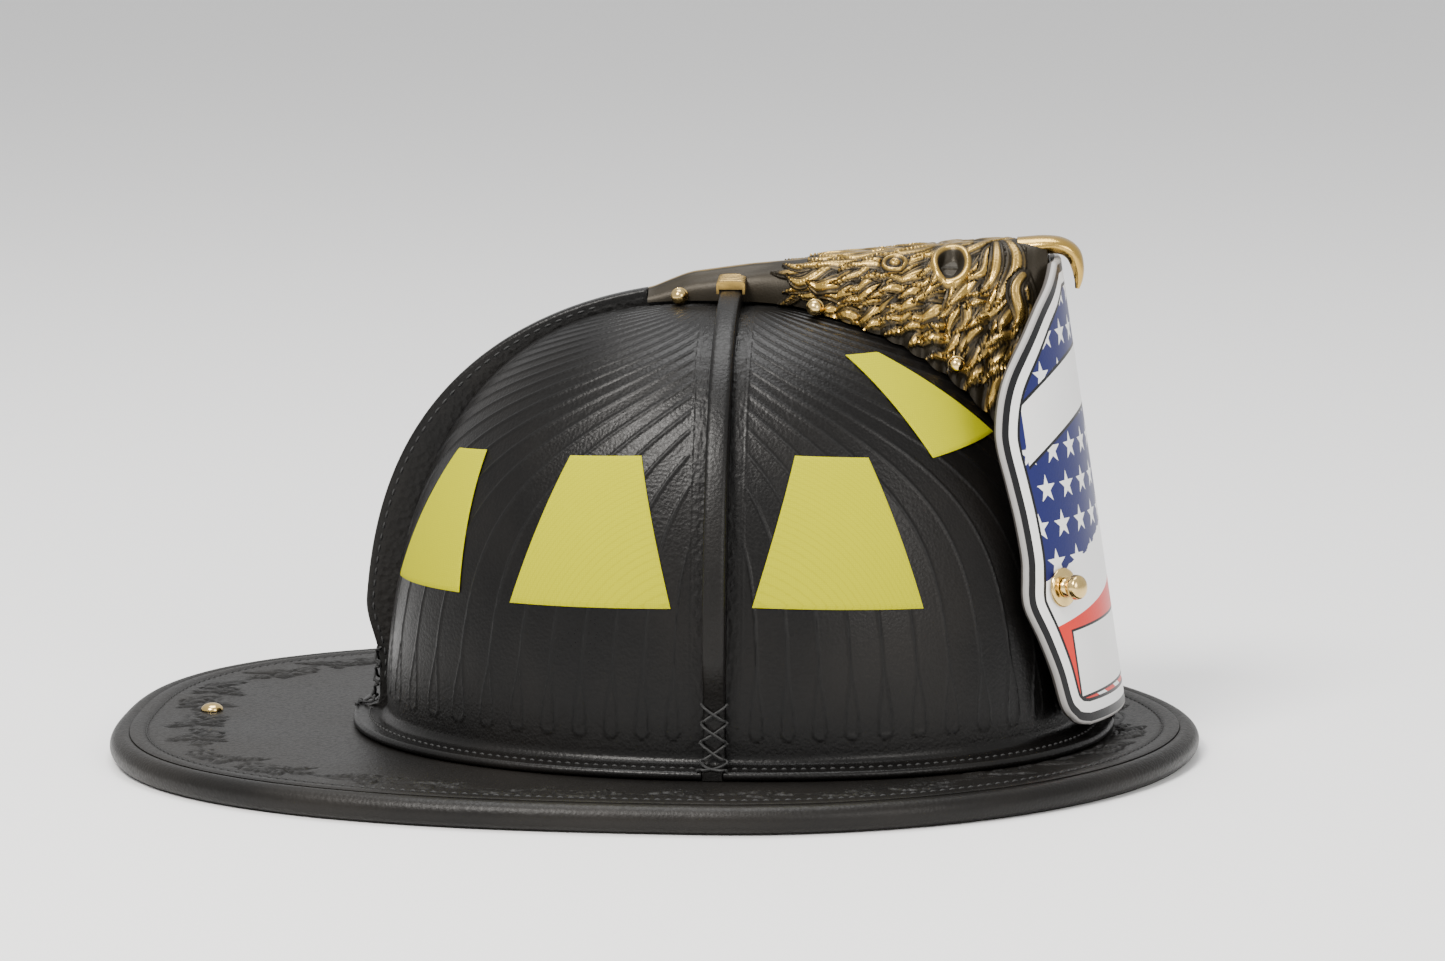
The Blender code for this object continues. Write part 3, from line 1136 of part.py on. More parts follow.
def make_chin_strap():
    for side, side_name, end in ((1, "left", SOCKET_SPAN[1] + GAP), (-1, "right", TONGUE_SPAN[0] - GAP)):
        bend = [Vector((side * x, y, WEBBING_HEIGHT)) for x, y in STRAP_ROUTE]
        path = smooth_path(bend, 2)[:-1] + [bend[-1], Vector((end, STRAIGHT_Y, WEBBING_HEIGHT))]
        stations = []
        for number, place in enumerate(path):
            along = path[min(number + 1, len(path) - 1)] - path[max(number - 1, 0)]
            outward = Vector((-along.y, along.x, 0.0)).normalized() * side
            stations.append((place, Vector((0, 0, 1)), outward, WEBBING_WIDTH, WEBBING_THICKNESS))
        stations[-1] = (path[-1], Vector((0, 0, 1)), Vector((0, -1, 0)), WEBBING_WIDTH, WEBBING_THICKNESS)
        stations[-2] = (path[-2], Vector((0, 0, 1)), Vector((0, -1, 0)), WEBBING_WIDTH, WEBBING_THICKNESS)
        ribbon(f"chin_strap_{side_name}", stations, WEBBING)

    socket_length = SOCKET_SPAN[1] - SOCKET_SPAN[0]
    middle = (SOCKET_SPAN[0] + SOCKET_SPAN[1]) / 2
    socket = box("buckle_socket", (socket_length, BUCKLE_THICKNESS, BUCKLE_HEIGHT),
                 (middle, BUCKLE_Y, WEBBING_HEIGHT), PLASTIC)
    room = box("nose room", (2 * NOSE_LENGTH + 4 * GAP, NOSE_THICKNESS + 2 * GAP, NOSE_HEIGHT + 2 * GAP),
               (SOCKET_SPAN[0], BUCKLE_Y, WEBBING_HEIGHT), None, group=cutters)
    cut(socket, room)
    face = BUCKLE_Y - BUCKLE_THICKNESS / 2
    pocket = box("lever pocket", (LEVER_SIZE[0] + 4 * GAP, 2 * LEVER_POCKET, LEVER_SIZE[2] + 4 * GAP),
                 (middle, face, WEBBING_HEIGHT), None, group=cutters)
    cut(socket, pocket)

    wide, nose = BUCKLE_HEIGHT / 2, NOSE_HEIGHT / 2
    tip = SOCKET_SPAN[0] + NOSE_LENGTH - GAP
    outline = [(TONGUE_SPAN[0], -wide + 0.002), (TONGUE_SPAN[0] + 0.002, -wide), (TONGUE_SPAN[1], -wide),
               (TONGUE_SPAN[1], -nose), (tip - 0.002, -nose), (tip, -nose + 0.002), (tip, nose - 0.002),
               (tip - 0.002, nose), (TONGUE_SPAN[1], nose), (TONGUE_SPAN[1], wide),
               (TONGUE_SPAN[0] + 0.002, wide), (TONGUE_SPAN[0], wide - 0.002)]
    solid_plate("buckle_tongue", outline, NOSE_THICKNESS, PLASTIC,
                Matrix.Translation((0, BUCKLE_Y, WEBBING_HEIGHT)) @ UPRIGHT_ALONG_X)

    lever = box("buckle_lever", LEVER_SIZE, (0, 0, 0), PLASTIC, bevel=0.0004)
    lever.data.transform(Matrix.Translation((-LEVER_SIZE[0] / 2, 0, 0)))
    lever.location = (middle + LEVER_SIZE[0] / 2, face - GAP - LEVER_SIZE[1] / 2, WEBBING_HEIGHT)

    slide_middle = (SLIDE_SPAN[0] + SLIDE_SPAN[1]) / 2
    slide = box("strap_slide", (SLIDE_SPAN[1] - SLIDE_SPAN[0], SLIDE_THICKNESS, BUCKLE_HEIGHT),
                (slide_middle, STRAIGHT_Y, WEBBING_HEIGHT), PLASTIC)
    slot = box("slide slot", (THROUGH, WEBBING_THICKNESS + 2 * GAP, WEBBING_WIDTH + 2 * GAP),
               (slide_middle, STRAIGHT_Y, WEBBING_HEIGHT), None, group=cutters)
    cut(slide, slot)


clear_scene()
helmet = make_collection("firefighter_helmet")
cutters = make_collection("cutters")
make_brim()
make_crown_panels()
make_combs()
make_reflective_trim()
make_holder()
make_holder_bolts()
make_shield()
make_shield_screws()
make_hanger()
make_inner_shells()
make_crown_straps()
make_headband()
make_ratchet()
make_flap()
make_chin_strap()
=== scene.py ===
import json
import math

import bmesh
import bpy
import numpy as np
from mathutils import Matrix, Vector


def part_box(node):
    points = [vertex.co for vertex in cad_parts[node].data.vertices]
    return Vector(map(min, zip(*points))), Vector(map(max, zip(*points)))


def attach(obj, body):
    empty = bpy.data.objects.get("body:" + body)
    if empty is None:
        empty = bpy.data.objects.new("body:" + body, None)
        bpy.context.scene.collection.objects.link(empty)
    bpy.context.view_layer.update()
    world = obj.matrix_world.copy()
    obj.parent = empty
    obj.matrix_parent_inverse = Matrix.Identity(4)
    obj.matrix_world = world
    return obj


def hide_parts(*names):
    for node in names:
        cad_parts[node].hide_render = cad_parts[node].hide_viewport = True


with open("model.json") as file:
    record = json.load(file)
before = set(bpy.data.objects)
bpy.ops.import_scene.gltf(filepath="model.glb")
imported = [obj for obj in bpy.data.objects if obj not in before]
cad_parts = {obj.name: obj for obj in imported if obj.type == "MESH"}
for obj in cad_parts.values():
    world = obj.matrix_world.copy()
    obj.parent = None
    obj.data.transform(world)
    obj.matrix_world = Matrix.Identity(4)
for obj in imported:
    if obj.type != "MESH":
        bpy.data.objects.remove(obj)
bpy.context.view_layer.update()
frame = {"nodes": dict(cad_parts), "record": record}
nodes = frame["nodes"]
rad = math.radians
tau = 2 * math.pi
upward = np.array((0, 0, 1.0))
bothSides = ((1, "left"), (-1, "right"))


# maths on arrays

def unit(v):
    return v / np.maximum(np.linalg.norm(v, axis=-1, keepdims=True), 1e-12)


def ease(x, low, high):
    # 0 below low, 1 above high, and a smooth cubic between them
    t = np.clip((x - low) / (high - low), 0, 1)
    return t * t * (3 - 2 * t)


def dent(x, width):
    # a bell: 1 at 0, and 0.37 at a width to either side
    return np.exp(-(x / width) ** 2)


def lengths(line):
    # how far along the line each of its points is
    return np.concatenate([[0], np.cumsum(np.linalg.norm(np.diff(line, axis=0), axis=1))])


def readAlong(at, places, table):
    # rows of a table at new places, by straight lines between the old ones
    return np.stack([np.interp(at, places, table[:, k]) for k in range(table.shape[1])], -1)


def points(*parts):
    # x, y and z, spread over one grid and put together
    return np.stack(np.broadcast_arrays(*parts), -1)


def allAlong(path, direction):
    # one direction, repeated for each point of a path
    return np.zeros_like(path) + direction


def softTable(x, table, blur=0.006):
    # straight lines between given points, averaged over a short stretch
    places, values = np.array(table).T
    shifts = np.linspace(-blur, blur, 9)
    weights = np.cos(shifts / blur * math.pi / 2) + 0.1
    total = sum(w * np.interp(x + s, places, values) for s, w in zip(shifts, weights))
    return total / weights.sum()


def smoothPath(points, pieces):
    # a Catmull-Rom curve through given points
    p = np.array(points, float)
    p = np.vstack([2 * p[0] - p[1], p, 2 * p[-1] - p[-2]])
    t = (np.arange(pieces) / pieces)[None, :, None]
    a, b, c, d = (p[i:len(p) - 3 + i, None, :] for i in range(4))
    square, cube = (2 * a - 5 * b + 4 * c - d) * t ** 2, (3 * b - a - 3 * c + d) * t ** 3
    curve = 0.5 * (2 * b + (c - a) * t + square + cube)
    return np.vstack([curve.reshape(-1, p.shape[1]), p[-2:-1]])


def evenPath(line, step):
    # the same line with its points an equal step apart
    way = lengths(line)
    return readAlong(np.linspace(0, way[-1], max(int(way[-1] / step), 2) + 1), way, line)


def gridNormals(p, wrapU=False, wrapV=False):
    # cross product of the steps to the neighbours on both sides
    def step(axis, wrap):
        if wrap:
            return np.roll(p, -1, axis) - np.roll(p, 1, axis)
        return np.gradient(p, axis=axis)
    return unit(np.cross(step(1, wrapU), step(0, wrapV)))


# meshes

def gridFaces(rows, cols, wrapU, wrapV):
    # four-cornered faces between neighbouring points, with the row and column that each starts from
    r, c = np.meshgrid(np.arange(rows - (not wrapV)), np.arange(cols - (not wrapU)), indexing="ij")
    r1, c1 = (r + 1) % rows, (c + 1) % cols
    return np.stack([r * cols + c, r * cols + c1, r1 * cols + c1, r1 * cols + c], -1).reshape(-1, 4), r, c


def evenSkin(mesh, merge=False):
    # faces turned outward and shaded smooth; merge joins the points where a profile meets its axis
    shape = bmesh.new()
    shape.from_mesh(mesh)
    if merge:
        bmesh.ops.remove_doubles(shape, verts=shape.verts, dist=1e-6)
    bmesh.ops.recalc_face_normals(shape, faces=shape.faces)
    shape.to_mesh(mesh)
    shape.free()
    mesh.shade_smooth()


def gridMesh(name, p, finish, slot, wrapU=False, wrapV=False, caps=False, uv=None, values=None,
             body="helmet", stands=(), merge=False):
    # a surface through rows and columns of points; wrapU joins the last column to the first, wrapV the last
    # row to the first, and caps close the first and last rows
    rows, cols = p.shape[:2]
    quads, r, c = gridFaces(rows, cols, wrapU, wrapV)
    faces = quads.tolist()
    if caps:
        faces += [list(range(cols)), list(range((rows - 1) * cols, rows * cols))]
    mesh = bpy.data.meshes.new(name)
    mesh.from_pydata(p.reshape(-1, 3).tolist(), [], faces)
    for key, value in (values or {}).items():
        layer = mesh.attributes.new(key, "FLOAT", "POINT")
        layer.data.foreach_set("value", np.broadcast_to(value, (rows, cols)).astype(np.float32).ravel())
    if uv is not None:
        layer = mesh.uv_layers.new(name="UVMap")
        corners = np.zeros((len(mesh.loops), 2), np.float32)
        place = np.stack([uv[r, c], uv[r, c + 1], uv[r + 1, c + 1], uv[r + 1, c]], 2).reshape(-1, 2)
        corners[:len(place)] = place
        layer.data.foreach_set("uv", corners.ravel())
    evenSkin(mesh, merge)
    mesh.set_sharp_from_angle(angle=rad(50))
    return placePiece(name, mesh, finish, body, stands)


def placePiece(name, mesh, finish, body, stands):
    piece = bpy.data.objects.new(name, mesh)
    bpy.context.scene.collection.objects.link(piece)
    mesh.materials.append(finish)
    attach(piece, body)
    if stands:
        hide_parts(*([stands] if isinstance(stands, str) else stands))
    return piece


def axes(direction):
    # two directions square to a third
    d = unit(np.array(direction, float))
    side = unit(np.cross((0, 0, 1.0) if abs(d[2]) < 0.9 else (0, 1.0, 0), d))
    return side, np.cross(d, side), d


def turned(name, profile, place, direction, finish, slot, count=48, wobble=None, **more):
    # a profile of (radius, along) carried round an axis; wobble is a radius factor from (turn, along)
    side, over, along = axes(direction)
    turn = np.arange(count) / count * tau
    radius, reach = np.array(profile, float).T[:, :, None]
    if wobble is not None:
        radius = radius * wobble(turn[None, :], reach, radius)
    ring = np.cos(turn)[:, None] * side + np.sin(turn)[:, None] * over
    p = np.array(place) + radius[..., None] * ring + reach[..., None] * along
    return gridMesh(name, p, finish, slot, wrapU=True, merge=True, **more)


def tube(name, path, radius, finish, slot, sides=12, closed=False, **more):
    # a round section carried along a path, kept from twisting by one upright direction
    p = np.array(path, float)
    ahead = unit(np.roll(p, -1, 0) - np.roll(p, 1, 0)) if closed else unit(np.gradient(p, axis=0))
    side = unit(np.cross(ahead, more.pop("upright", (0.13, 0.21, 0.97))))
    over = np.cross(side, ahead)
    turn = np.arange(sides) / sides * tau
    ring = side[:, None] * np.cos(turn)[:, None] + over[:, None] * np.sin(turn)[:, None]
    p = p[:, None] + ring * radius
    return gridMesh(name, p, finish, slot, wrapU=True, wrapV=closed, caps=not closed, **more)


def band(name, p, across, outward, width, thickness, finish, slot, rounded=0.4, swell=None, **more):
    # a flat strap: a rectangle with rounded ends carried along a path; swell adds to its outer face
    count = 36
    turn = (np.arange(count) + 0.5) / count * tau
    wide = np.sign(np.cos(turn)) * np.abs(np.cos(turn)) ** (rounded * 0.45)
    thick = np.sign(np.sin(turn)) * np.abs(np.sin(turn)) ** rounded
    half = np.full((len(p), count), thickness / 2)
    if swell is not None:
        half = half + swell(np.linspace(0, 1, len(p))[:, None], wide[None, :]) * (thick[None, :] > 0)
    ring = (p[:, None] + across[:, None] * (wide * width / 2)[None, :, None]
            + outward[:, None] * (thick * half)[..., None])
    flat = np.concatenate([wide, wide[:1]]) * width / 2
    uv = points(lengths(p)[:, None], flat[None, :])
    return gridMesh(name, ring, finish, slot, wrapU=True, caps=True, uv=uv, **more)


def stitchRow(name, path, outward, pitch=0.0033, length=0.0025):
    # short thread beads along a line: each is a six-sided barrel that dips at both ends
    radius, sink, rings, sides = 0.00042, 0.2, 5, 6
    line = evenPath(np.hstack([path, outward]), 0.0004)
    way = lengths(line[:, :3])
    starts = np.arange(0.5 * pitch, way[-1] - length, pitch)
    at = starts[:, None] + np.linspace(0, 1, rings)[None, :] * length
    spot = readAlong(at, way, line)
    place, up = spot[..., :3], unit(spot[..., 3:])
    ahead = unit(place[:, -1:] - place[:, :1]) + 0 * place
    side = unit(np.cross(ahead, up))
    fat = radius * np.array([0.35, 0.85, 1.0, 0.85, 0.35])
    lift = radius * (np.array([-0.9, 0.05, 0.35, 0.05, -0.9]) - sink)
    turn = np.arange(sides) / sides * tau
    ring = side[:, :, None] * np.cos(turn)[:, None] + up[:, :, None] * np.sin(turn)[:, None]
    p = (place + up * lift[:, None])[:, :, None] + ring * fat[:, None, None]
    base = np.arange(len(starts))[:, None, None] * rings * sides
    faces = (base + gridFaces(rings, sides, True, False)[0]).reshape(-1, 4).tolist()
    faces += (base[:, 0] + np.arange(sides - 1, -1, -1)).tolist()
    faces += (base[:, 0] + np.arange((rings - 1) * sides, rings * sides)).tolist()
    mesh = bpy.data.meshes.new(name)
    mesh.from_pydata(p.reshape(-1, 3).tolist(), [], faces)
    evenSkin(mesh)
    return placePiece(name, mesh, blackThread, "helmet", ())


# materials

class Wire:
    # a socket that does sums: each operator adds one Math node
    def __init__(self, shop, socket):
        self.shop, self.socket = shop, socket

    def sum(self, kind, *others):
        return self.shop.node("ShaderNodeMath", {"operation": kind}, dict(enumerate((self, *others))))

    def operator(kind, swapped=False):
        # swapped is the reflected form, as in 1 - mask
        def work(self, *others):
            if swapped:
                return self.shop.value(others[0]).sum(kind, self)
            return self.sum(kind, *others)
        return work

    __add__ = __radd__ = operator("ADD")
    __mul__ = __rmul__ = operator("MULTIPLY")
    __sub__, __rsub__ = operator("SUBTRACT"), operator("SUBTRACT", swapped=True)
    __truediv__, __rtruediv__ = operator("DIVIDE"), operator("DIVIDE", swapped=True)
    __pow__, __lt__, __abs__ = operator("POWER"), operator("LESS_THAN"), operator("ABSOLUTE")

    def zigzag(self):
        # 1 at each whole number and 0 half way between
        return abs(self.sum("FRACT") - 0.5) * 2

    def step(self, low, high):
        # a smooth climb from 0 at low to 1 at high
        return self.shop.node("ShaderNodeMapRange", {"interpolation_type": "SMOOTHSTEP"},
                              {"Value": self, "From Min": low, "From Max": high})


class Finish:
    # one material and the nodes in it
    def __init__(self, name, colour, roughness, metallic=0.0, **fixed):
        self.material = bpy.data.materials.new(name)
        self.material.use_nodes = True
        self.tree = self.material.node_tree
        self.shader = self.tree.nodes["Principled BSDF"]
        self.material.diffuse_color = (*colour, 1)
        self.shader.inputs["Base Color"].default_value = (*colour, 1)
        self.shader.inputs["Roughness"].default_value = roughness
        self.shader.inputs["Metallic"].default_value = metallic
        for key, value in fixed.items():
            self.shader.inputs[key.replace("_", " ")].default_value = value

    def node(self, kind, settings, sockets, out=0):
        made = self.tree.nodes.new(kind)
        for key, value in settings.items():
            setattr(made, key, value)
        for key, value in sockets.items():
            if isinstance(value, Wire):
                self.tree.links.new(value.socket, made.inputs[key])
            else:
                made.inputs[key].default_value = value
        return Wire(self, made.outputs[out])

    def value(self, number):
        made = self.tree.nodes.new("ShaderNodeValue")
        made.outputs[0].default_value = number
        return Wire(self, made.outputs[0])

    def coord(self, which="Object"):
        return self.node("ShaderNodeTexCoord", {}, {}, which)

    def attribute(self, name):
        return self.node("ShaderNodeAttribute", {"attribute_name": name}, {}, "Fac")

    def split(self, vector):
        return [self.node("ShaderNodeSeparateXYZ", {}, {0: vector}, k) for k in range(3)]

    def noise(self, scale, detail, vector=None, distortion=0.0):
        return self.node("ShaderNodeTexNoise", {}, {"Vector": vector or self.coord(), "Scale": scale,
                                                    "Detail": detail, "Distortion": distortion})

    def cells(self, scale, feature="F1", randomness=1.0):
        return self.node("ShaderNodeTexVoronoi", {"feature": feature},
                         {"Vector": self.coord(), "Scale": scale, "Randomness": randomness}, "Distance")

    def mix(self, amount, first, second):
        def colour(c):
            return c if isinstance(c, Wire) else (*c, 1)
        return self.node("ShaderNodeMix", {"data_type": "RGBA"},
                         {0: amount, 6: colour(first), 7: colour(second)}, 2)

    def bump(self, height, strength, distance):
        return self.node("ShaderNodeBump", {}, {"Height": height, "Strength": strength, "Distance": distance})

    def feed(self, **links):
        for key, wire in links.items():
            self.tree.links.new(wire.socket, self.shader.inputs[key.replace("_", " ")])
        return self.material


def tinted(colour, gain, lift=0.0):
    return tuple(c * gain + lift for c in colour)


def leatherFinish(name, colour, roughness, pebble=850, marked=False):
    # fine pebble grain, faint creases and rubbed patches; marked also reads the tooling values of the mesh and
    # paints its grooves darker, painted shade in the grooves
    f = Finish(name, colour, roughness, Specular_IOR_Level=0.19)
    grain = f.cells(pebble)
    fine = f.noise(2600, 3)
    crease = f.noise(70, 5, distortion=0.8)
    patch = f.noise(16, 3)
    height = grain * 0.55 + fine * 0.35 + crease * 0.5
    warm = tuple(c * 1.5 + w for c, w in zip(colour, (0.0030, 0.0024, 0.0018)))
    shade = f.mix(patch.step(0.35, 0.75), colour, warm)
    rough = roughness + (patch - 0.5) * 0.16 + (grain - 0.4) * 0.12
    if marked:
        stipple = f.attribute("stipple")
        groove = f.attribute("groove")
        pebbles = f.cells(430)
        height = height + stipple * pebbles * 2.2
        # painted shade: the tooled grooves are mixed towards near black
        shade = f.mix(groove, shade, (0.003, 0.003, 0.003))
        rough = rough + stipple * 0.10 + groove * 0.15
    return f.feed(Base_Color=shade, Roughness=rough, Normal=f.bump(height, 0.38, 0.00035))


def threadFinish(name, colour):
    f = Finish(name, colour, 0.7)
    twist = f.noise(1500, 2, distortion=1.5)
    return f.feed(Base_Color=f.mix(twist, colour, tinted(colour, 2.2, 0.004)),
                  Normal=f.bump(twist, 0.5, 0.0002))


def brassFinish(name, colour, roughness, tarnish):
    # cast or turned brass with fine scratches and a little tarnish in broad patches
    f = Finish(name, colour, roughness, 1.0)
    patch = f.noise(120, 4)
    scratch = f.noise(900, 3, f.node("ShaderNodeMapping", {}, {"Vector": f.coord(), "Scale": (1, 1, 7)}))
    rough = roughness + (patch - 0.5) * 0.2 + (scratch - 0.5) * 0.14
    return f.feed(Base_Color=f.mix(patch.step(0.35, 0.8), colour, tinted(colour, tarnish)), Roughness=rough,
                  Normal=f.bump(scratch, 0.10, 0.0002))


def antiqueFinish():
    # casting with black-brown patina in its hollows, and brass rubbed bright on what stands proud; along the
    # holder's ridge line the bright brass is a painted highlight
    f = Finish("antiquedBrass", (0.46, 0.33, 0.13), 0.34, 1.0)
    high = f.attribute("relief")
    patch, cast = f.noise(150, 4), f.noise(1400, 4)
    # rubbed brass, and a painted highlight on the holder's ridge line, through the same mask
    rubbedAndRidgeShine = (high + (patch - 0.5) * 0.35).step(0.34, 0.96)
    colour = f.mix(rubbedAndRidgeShine, (0.016, 0.012, 0.006), (0.52, 0.335, 0.085))
    return f.feed(Base_Color=colour, Roughness=0.42 - rubbedAndRidgeShine * 0.22 + cast * 0.06,
                  Metallic=0.60 + rubbedAndRidgeShine * 0.40, Normal=f.bump(cast, 0.20, 0.0003))


def limeFinish():
    # fluorescent vinyl: tiny prisms under a clear face
    f = Finish("limeReflective", (0.42, 0.42, 0.0), 0.8, Specular_IOR_Level=0.05)
    prism = f.cells(1500, feature="DISTANCE_TO_EDGE", randomness=0.15)
    cloudy = f.noise(45, 3)
    edge = prism.step(0.0, 0.18)
    colour = f.mix(edge, (0.33, 0.325, 0.0), (0.40, 0.395, 0.0))
    colour = f.mix(cloudy * 0.15, colour, (0.42, 0.38, 0.0))
    return f.feed(Base_Color=colour, Roughness=0.72 + cloudy * 0.1, Normal=f.bump(edge, 0.10, 0.0002))


def mouldedFinish(name, colour, roughness, pebble=1400, depth=0.2):
    # plastic with a fine grain and slightly uneven gloss
    f = Finish(name, colour, roughness)
    grain = f.cells(pebble)
    patch = f.noise(40, 3)
    return f.feed(Base_Color=f.mix(patch, colour, tinted(colour, 1.5, 0.003)),
                  Roughness=roughness + (patch - 0.5) * 0.12, Normal=f.bump(grain + patch * 0.4, depth, 0.0002))


def foamFinish():
    # moulded beads with pores between them; the colour darkens from each bead's middle to its edge, painted
    # shade between the beads
    f = Finish("impactFoam", (0.030, 0.030, 0.032), 0.92)
    beads, pores = f.cells(330), f.noise(1100, 3)
    # painted shade: darker at the bead edges and in the gaps between beads
    colour = f.mix(beads.step(0.1, 0.6), (0.045, 0.045, 0.048), (0.018, 0.018, 0.02))
    return f.feed(Base_Color=colour, Normal=f.bump(pores * 0.3 - beads, 0.6, 0.0006))


def webbingFinish(name, colour):
    # woven strap: ribs across and a twill of threads along, on the strap's own flat coordinates; the raised
    # weave is painted lighter, a painted highlight
    f, rib = Finish(name, colour, 0.82, Sheen_Weight=0.25), 0.0011
    along, across, _ = f.split(f.coord("UV"))
    ribs, threads = (along / rib + abs(across) * 420).zigzag(), (across / (rib * 0.8)).zigzag()
    weave = ribs * 0.7 + threads * 0.3
    fuzz = f.noise(900, 4)
    # painted highlight: the colour goes towards this lighter tone where the weave stands highest; the fuzz part
    # is random
    light = tinted(colour, 2.6, 0.006)
    selvedge = abs(across).step(0.0078, 0.0086)
    return f.feed(Base_Color=f.mix(weave * 0.6 + fuzz * 0.3, colour, light), Roughness=0.75 + fuzz * 0.2,
                  Normal=f.bump(weave + fuzz * 0.3 - selvedge * 0.6, 0.6, 0.0004))


def clothFinish():
    # plain weave with a little fuzz; its quilting is in the mesh
    f = Finish("flapCloth", (0.11, 0.085, 0.05), 0.95, Sheen_Weight=0.3)
    along, up, _ = f.split(f.coord("UV"))
    warp, weft = (along * 1500).zigzag(), (up * 1500).zigzag()
    fuzz = f.noise(500, 4)
    colour = f.mix(fuzz, (0.085, 0.066, 0.038), (0.17, 0.135, 0.085))
    return f.feed(Base_Color=colour, Normal=f.bump(warp * 0.5 + weft * 0.5 + fuzz * 0.5, 0.5, 0.0003))


def steelFinish():
    # drawn wire with a streaky polish
    f = Finish("wireSteel", (0.58, 0.58, 0.60), 0.3, 1.0)
    draw = f.noise(700, 3)
    return f.feed(Roughness=0.22 + draw * 0.22, Base_Color=f.mix(draw, (0.48, 0.48, 0.5), (0.68, 0.68, 0.7)),
                  Normal=f.bump(draw, 0.08, 0.0002))


crownLeather = leatherFinish("crownLeather", (0.0026, 0.0024, 0.0023), 0.33, marked=True)
combLeather = leatherFinish("combLeather", (0.0030, 0.0028, 0.0026), 0.36, marked=True)
brimLeather = leatherFinish("brimLeather", (0.0050, 0.0045, 0.0040), 0.40, marked=True)
browLeather = leatherFinish("browLeather", (0.15, 0.072, 0.03), 0.55, pebble=600)
blackThread = threadFinish("blackThread", (0.006, 0.006, 0.006))
brass = brassFinish("turnedBrass", (0.83, 0.60, 0.24), 0.16, 0.62)
antique = antiqueFinish()
lime = limeFinish()
nylon = mouldedFinish("blackNylon", (0.016, 0.016, 0.017), 0.48)
capPlastic = mouldedFinish("capPlastic", (0.035, 0.035, 0.038), 0.42, 900, 0.12)
foam = foamFinish()
webbing = webbingFinish("blackWebbing", (0.012, 0.012, 0.012))
flapCloth = clothFinish()
steel = steelFinish()
print("materials made")


# crown shape, as the frame has it

crown = {"length": 0.246, "width": 0.186, "rise": 0.146, "base": 0.0128, "under": 0.0098, "y": -0.0275,
         "plan": 2.2, "side": 3.0, "top": 2.05, "wall": 0.003, "flange": 0.012}


def planRadius(turn, front, rear, half, frontPower, rearPower):
    # superellipse about the crown's middle: (|cos|/length)^p + (|sin|/half)^p, to the power -1/p
    c, s = np.cos(turn), np.abs(np.sin(turn))
    length, power = np.where(c >= 0, front, rear), np.where(c >= 0, frontPower, rearPower)
    return ((np.abs(c) / length) ** power + (s / half) ** power) ** (-1 / power)


def planPoint(turn, radius, z):
    # turned from the front, -Y, towards +X
    return points(radius * np.sin(turn), crown["y"] - radius * np.cos(turn), z)


def climbShares(climb):
    # cos^(2/side) of the radius and sin^(2/top) of the rise
    return np.cos(climb) ** (2 / crown["side"]), np.sin(climb) ** (2 / crown["top"])


def climbAt(z, inset=0.0):
    # the climb at which the crown's surface, or one inside it, is at a height
    share = np.maximum(z - crown["base"], 0) / (crown["rise"] - inset)
    return np.arcsin(share ** (crown["top"] / 2))


def crownRadius(turn, inset):
    # the plan's radius, or one inside it
    length, width = crown["length"] / 2 - inset, crown["width"] / 2 - inset
    return planRadius(turn, length, length, width, crown["plan"], crown["plan"])


def crownPoint(turn, climb, inset):
    # the plan's radius times the radius share, at the base plus the rise times the rise share
    across, up = climbShares(climb)
    return planPoint(turn, crownRadius(turn, inset) * across, crown["base"] + (crown["rise"] - inset) * up)


def crownHeight(x, forward):
    # the same surface as a height over a place
    p = crown["plan"]
    share = (np.abs(forward) / (crown["length"] / 2)) ** p + (np.abs(x) / (crown["width"] / 2)) ** p
    up = (1 - np.minimum(share ** (1 / p), 1) ** crown["side"]) ** (1 / crown["top"])
    return crown["base"] + crown["rise"] * up


# crown quarters: fans of tooled fingers that run from the side combs down to round ends

quarter = {"edge": 0.00382, "columns": 330, "rows": 235, "fingers": 13.5, "sweep": 0.95, "sweepPower": 5.0,
           "halfFinger": 0.20, "grooveDepth": 0.00036, "grooveWidth": 0.00038, "loopHeight": 0.0112,
           "topDegrees": 88.5, "stippleSide": 0.0052, "stippleEnd": 0.0095,
           "stitchRow": 8}


def quarterGrid(side, end):
    # rows of (share, widening, height) run up the outside and back down the inside; along each row the angle
    # goes from one comb to the next, both kept at the same distance from the panel
    q, c = quarter, crown
    fillet = rad(90) * np.linspace(0, 1, 6)
    wallStart = c["base"] + c["wall"]
    climbs = np.linspace(climbAt(wallStart), rad(q["topDegrees"]), q["rows"])
    across, up = climbShares(climbs)
    inside = np.linspace(rad(q["topDegrees"]), 0.02, 16)
    inAcross, inUp = climbShares(inside)
    low, flange = c["under"], c["flange"]
    outer = [(1, w, z) for w, z in ((flange - 0.0009, low), (flange, low + 0.0008),
                                    (flange, c["base"] - 0.0009), (flange - 0.0008, c["base"]))]
    outer += [(1, w, c["base"]) for w in np.linspace(flange - 0.0016, c["wall"] + 0.0002, 8)]
    outer += [(1, c["wall"] * (1 - math.sin(t)), c["base"] + c["wall"] * (1 - math.cos(t)))
              for t in fillet[:-1]]
    outer += list(zip(across, 0 * across, c["base"] + c["rise"] * up))
    inner = list(zip(inAcross, 0 * inAcross - c["wall"], c["base"] + (c["rise"] - c["wall"]) * inUp))
    inner += [(1, -c["wall"], low)]
    share, widen, z = (np.array(v)[:, None] for v in zip(*(outer + inner)))
    length, width = (c["length"] / 2 + widen) * share, (c["width"] / 2 + widen) * share
    forward = length * (1 - (q["edge"] / width) ** c["plan"]) ** (1 / c["plan"])
    sideways = width * (1 - (q["edge"] / length) ** c["plan"]) ** (1 / c["plan"])
    first, last = np.arctan2(q["edge"], forward), np.arctan2(sideways, q["edge"])
    t = np.linspace(0, 1, q["columns"])[None, :]
    angle = first + (last - first) * t
    radius = share * planRadius(angle, length / share, length / share, width / share, c["plan"], c["plan"])
    p = points(side * radius * np.sin(angle), c["y"] - end * radius * np.cos(angle), z)
    return p, len(outer), t


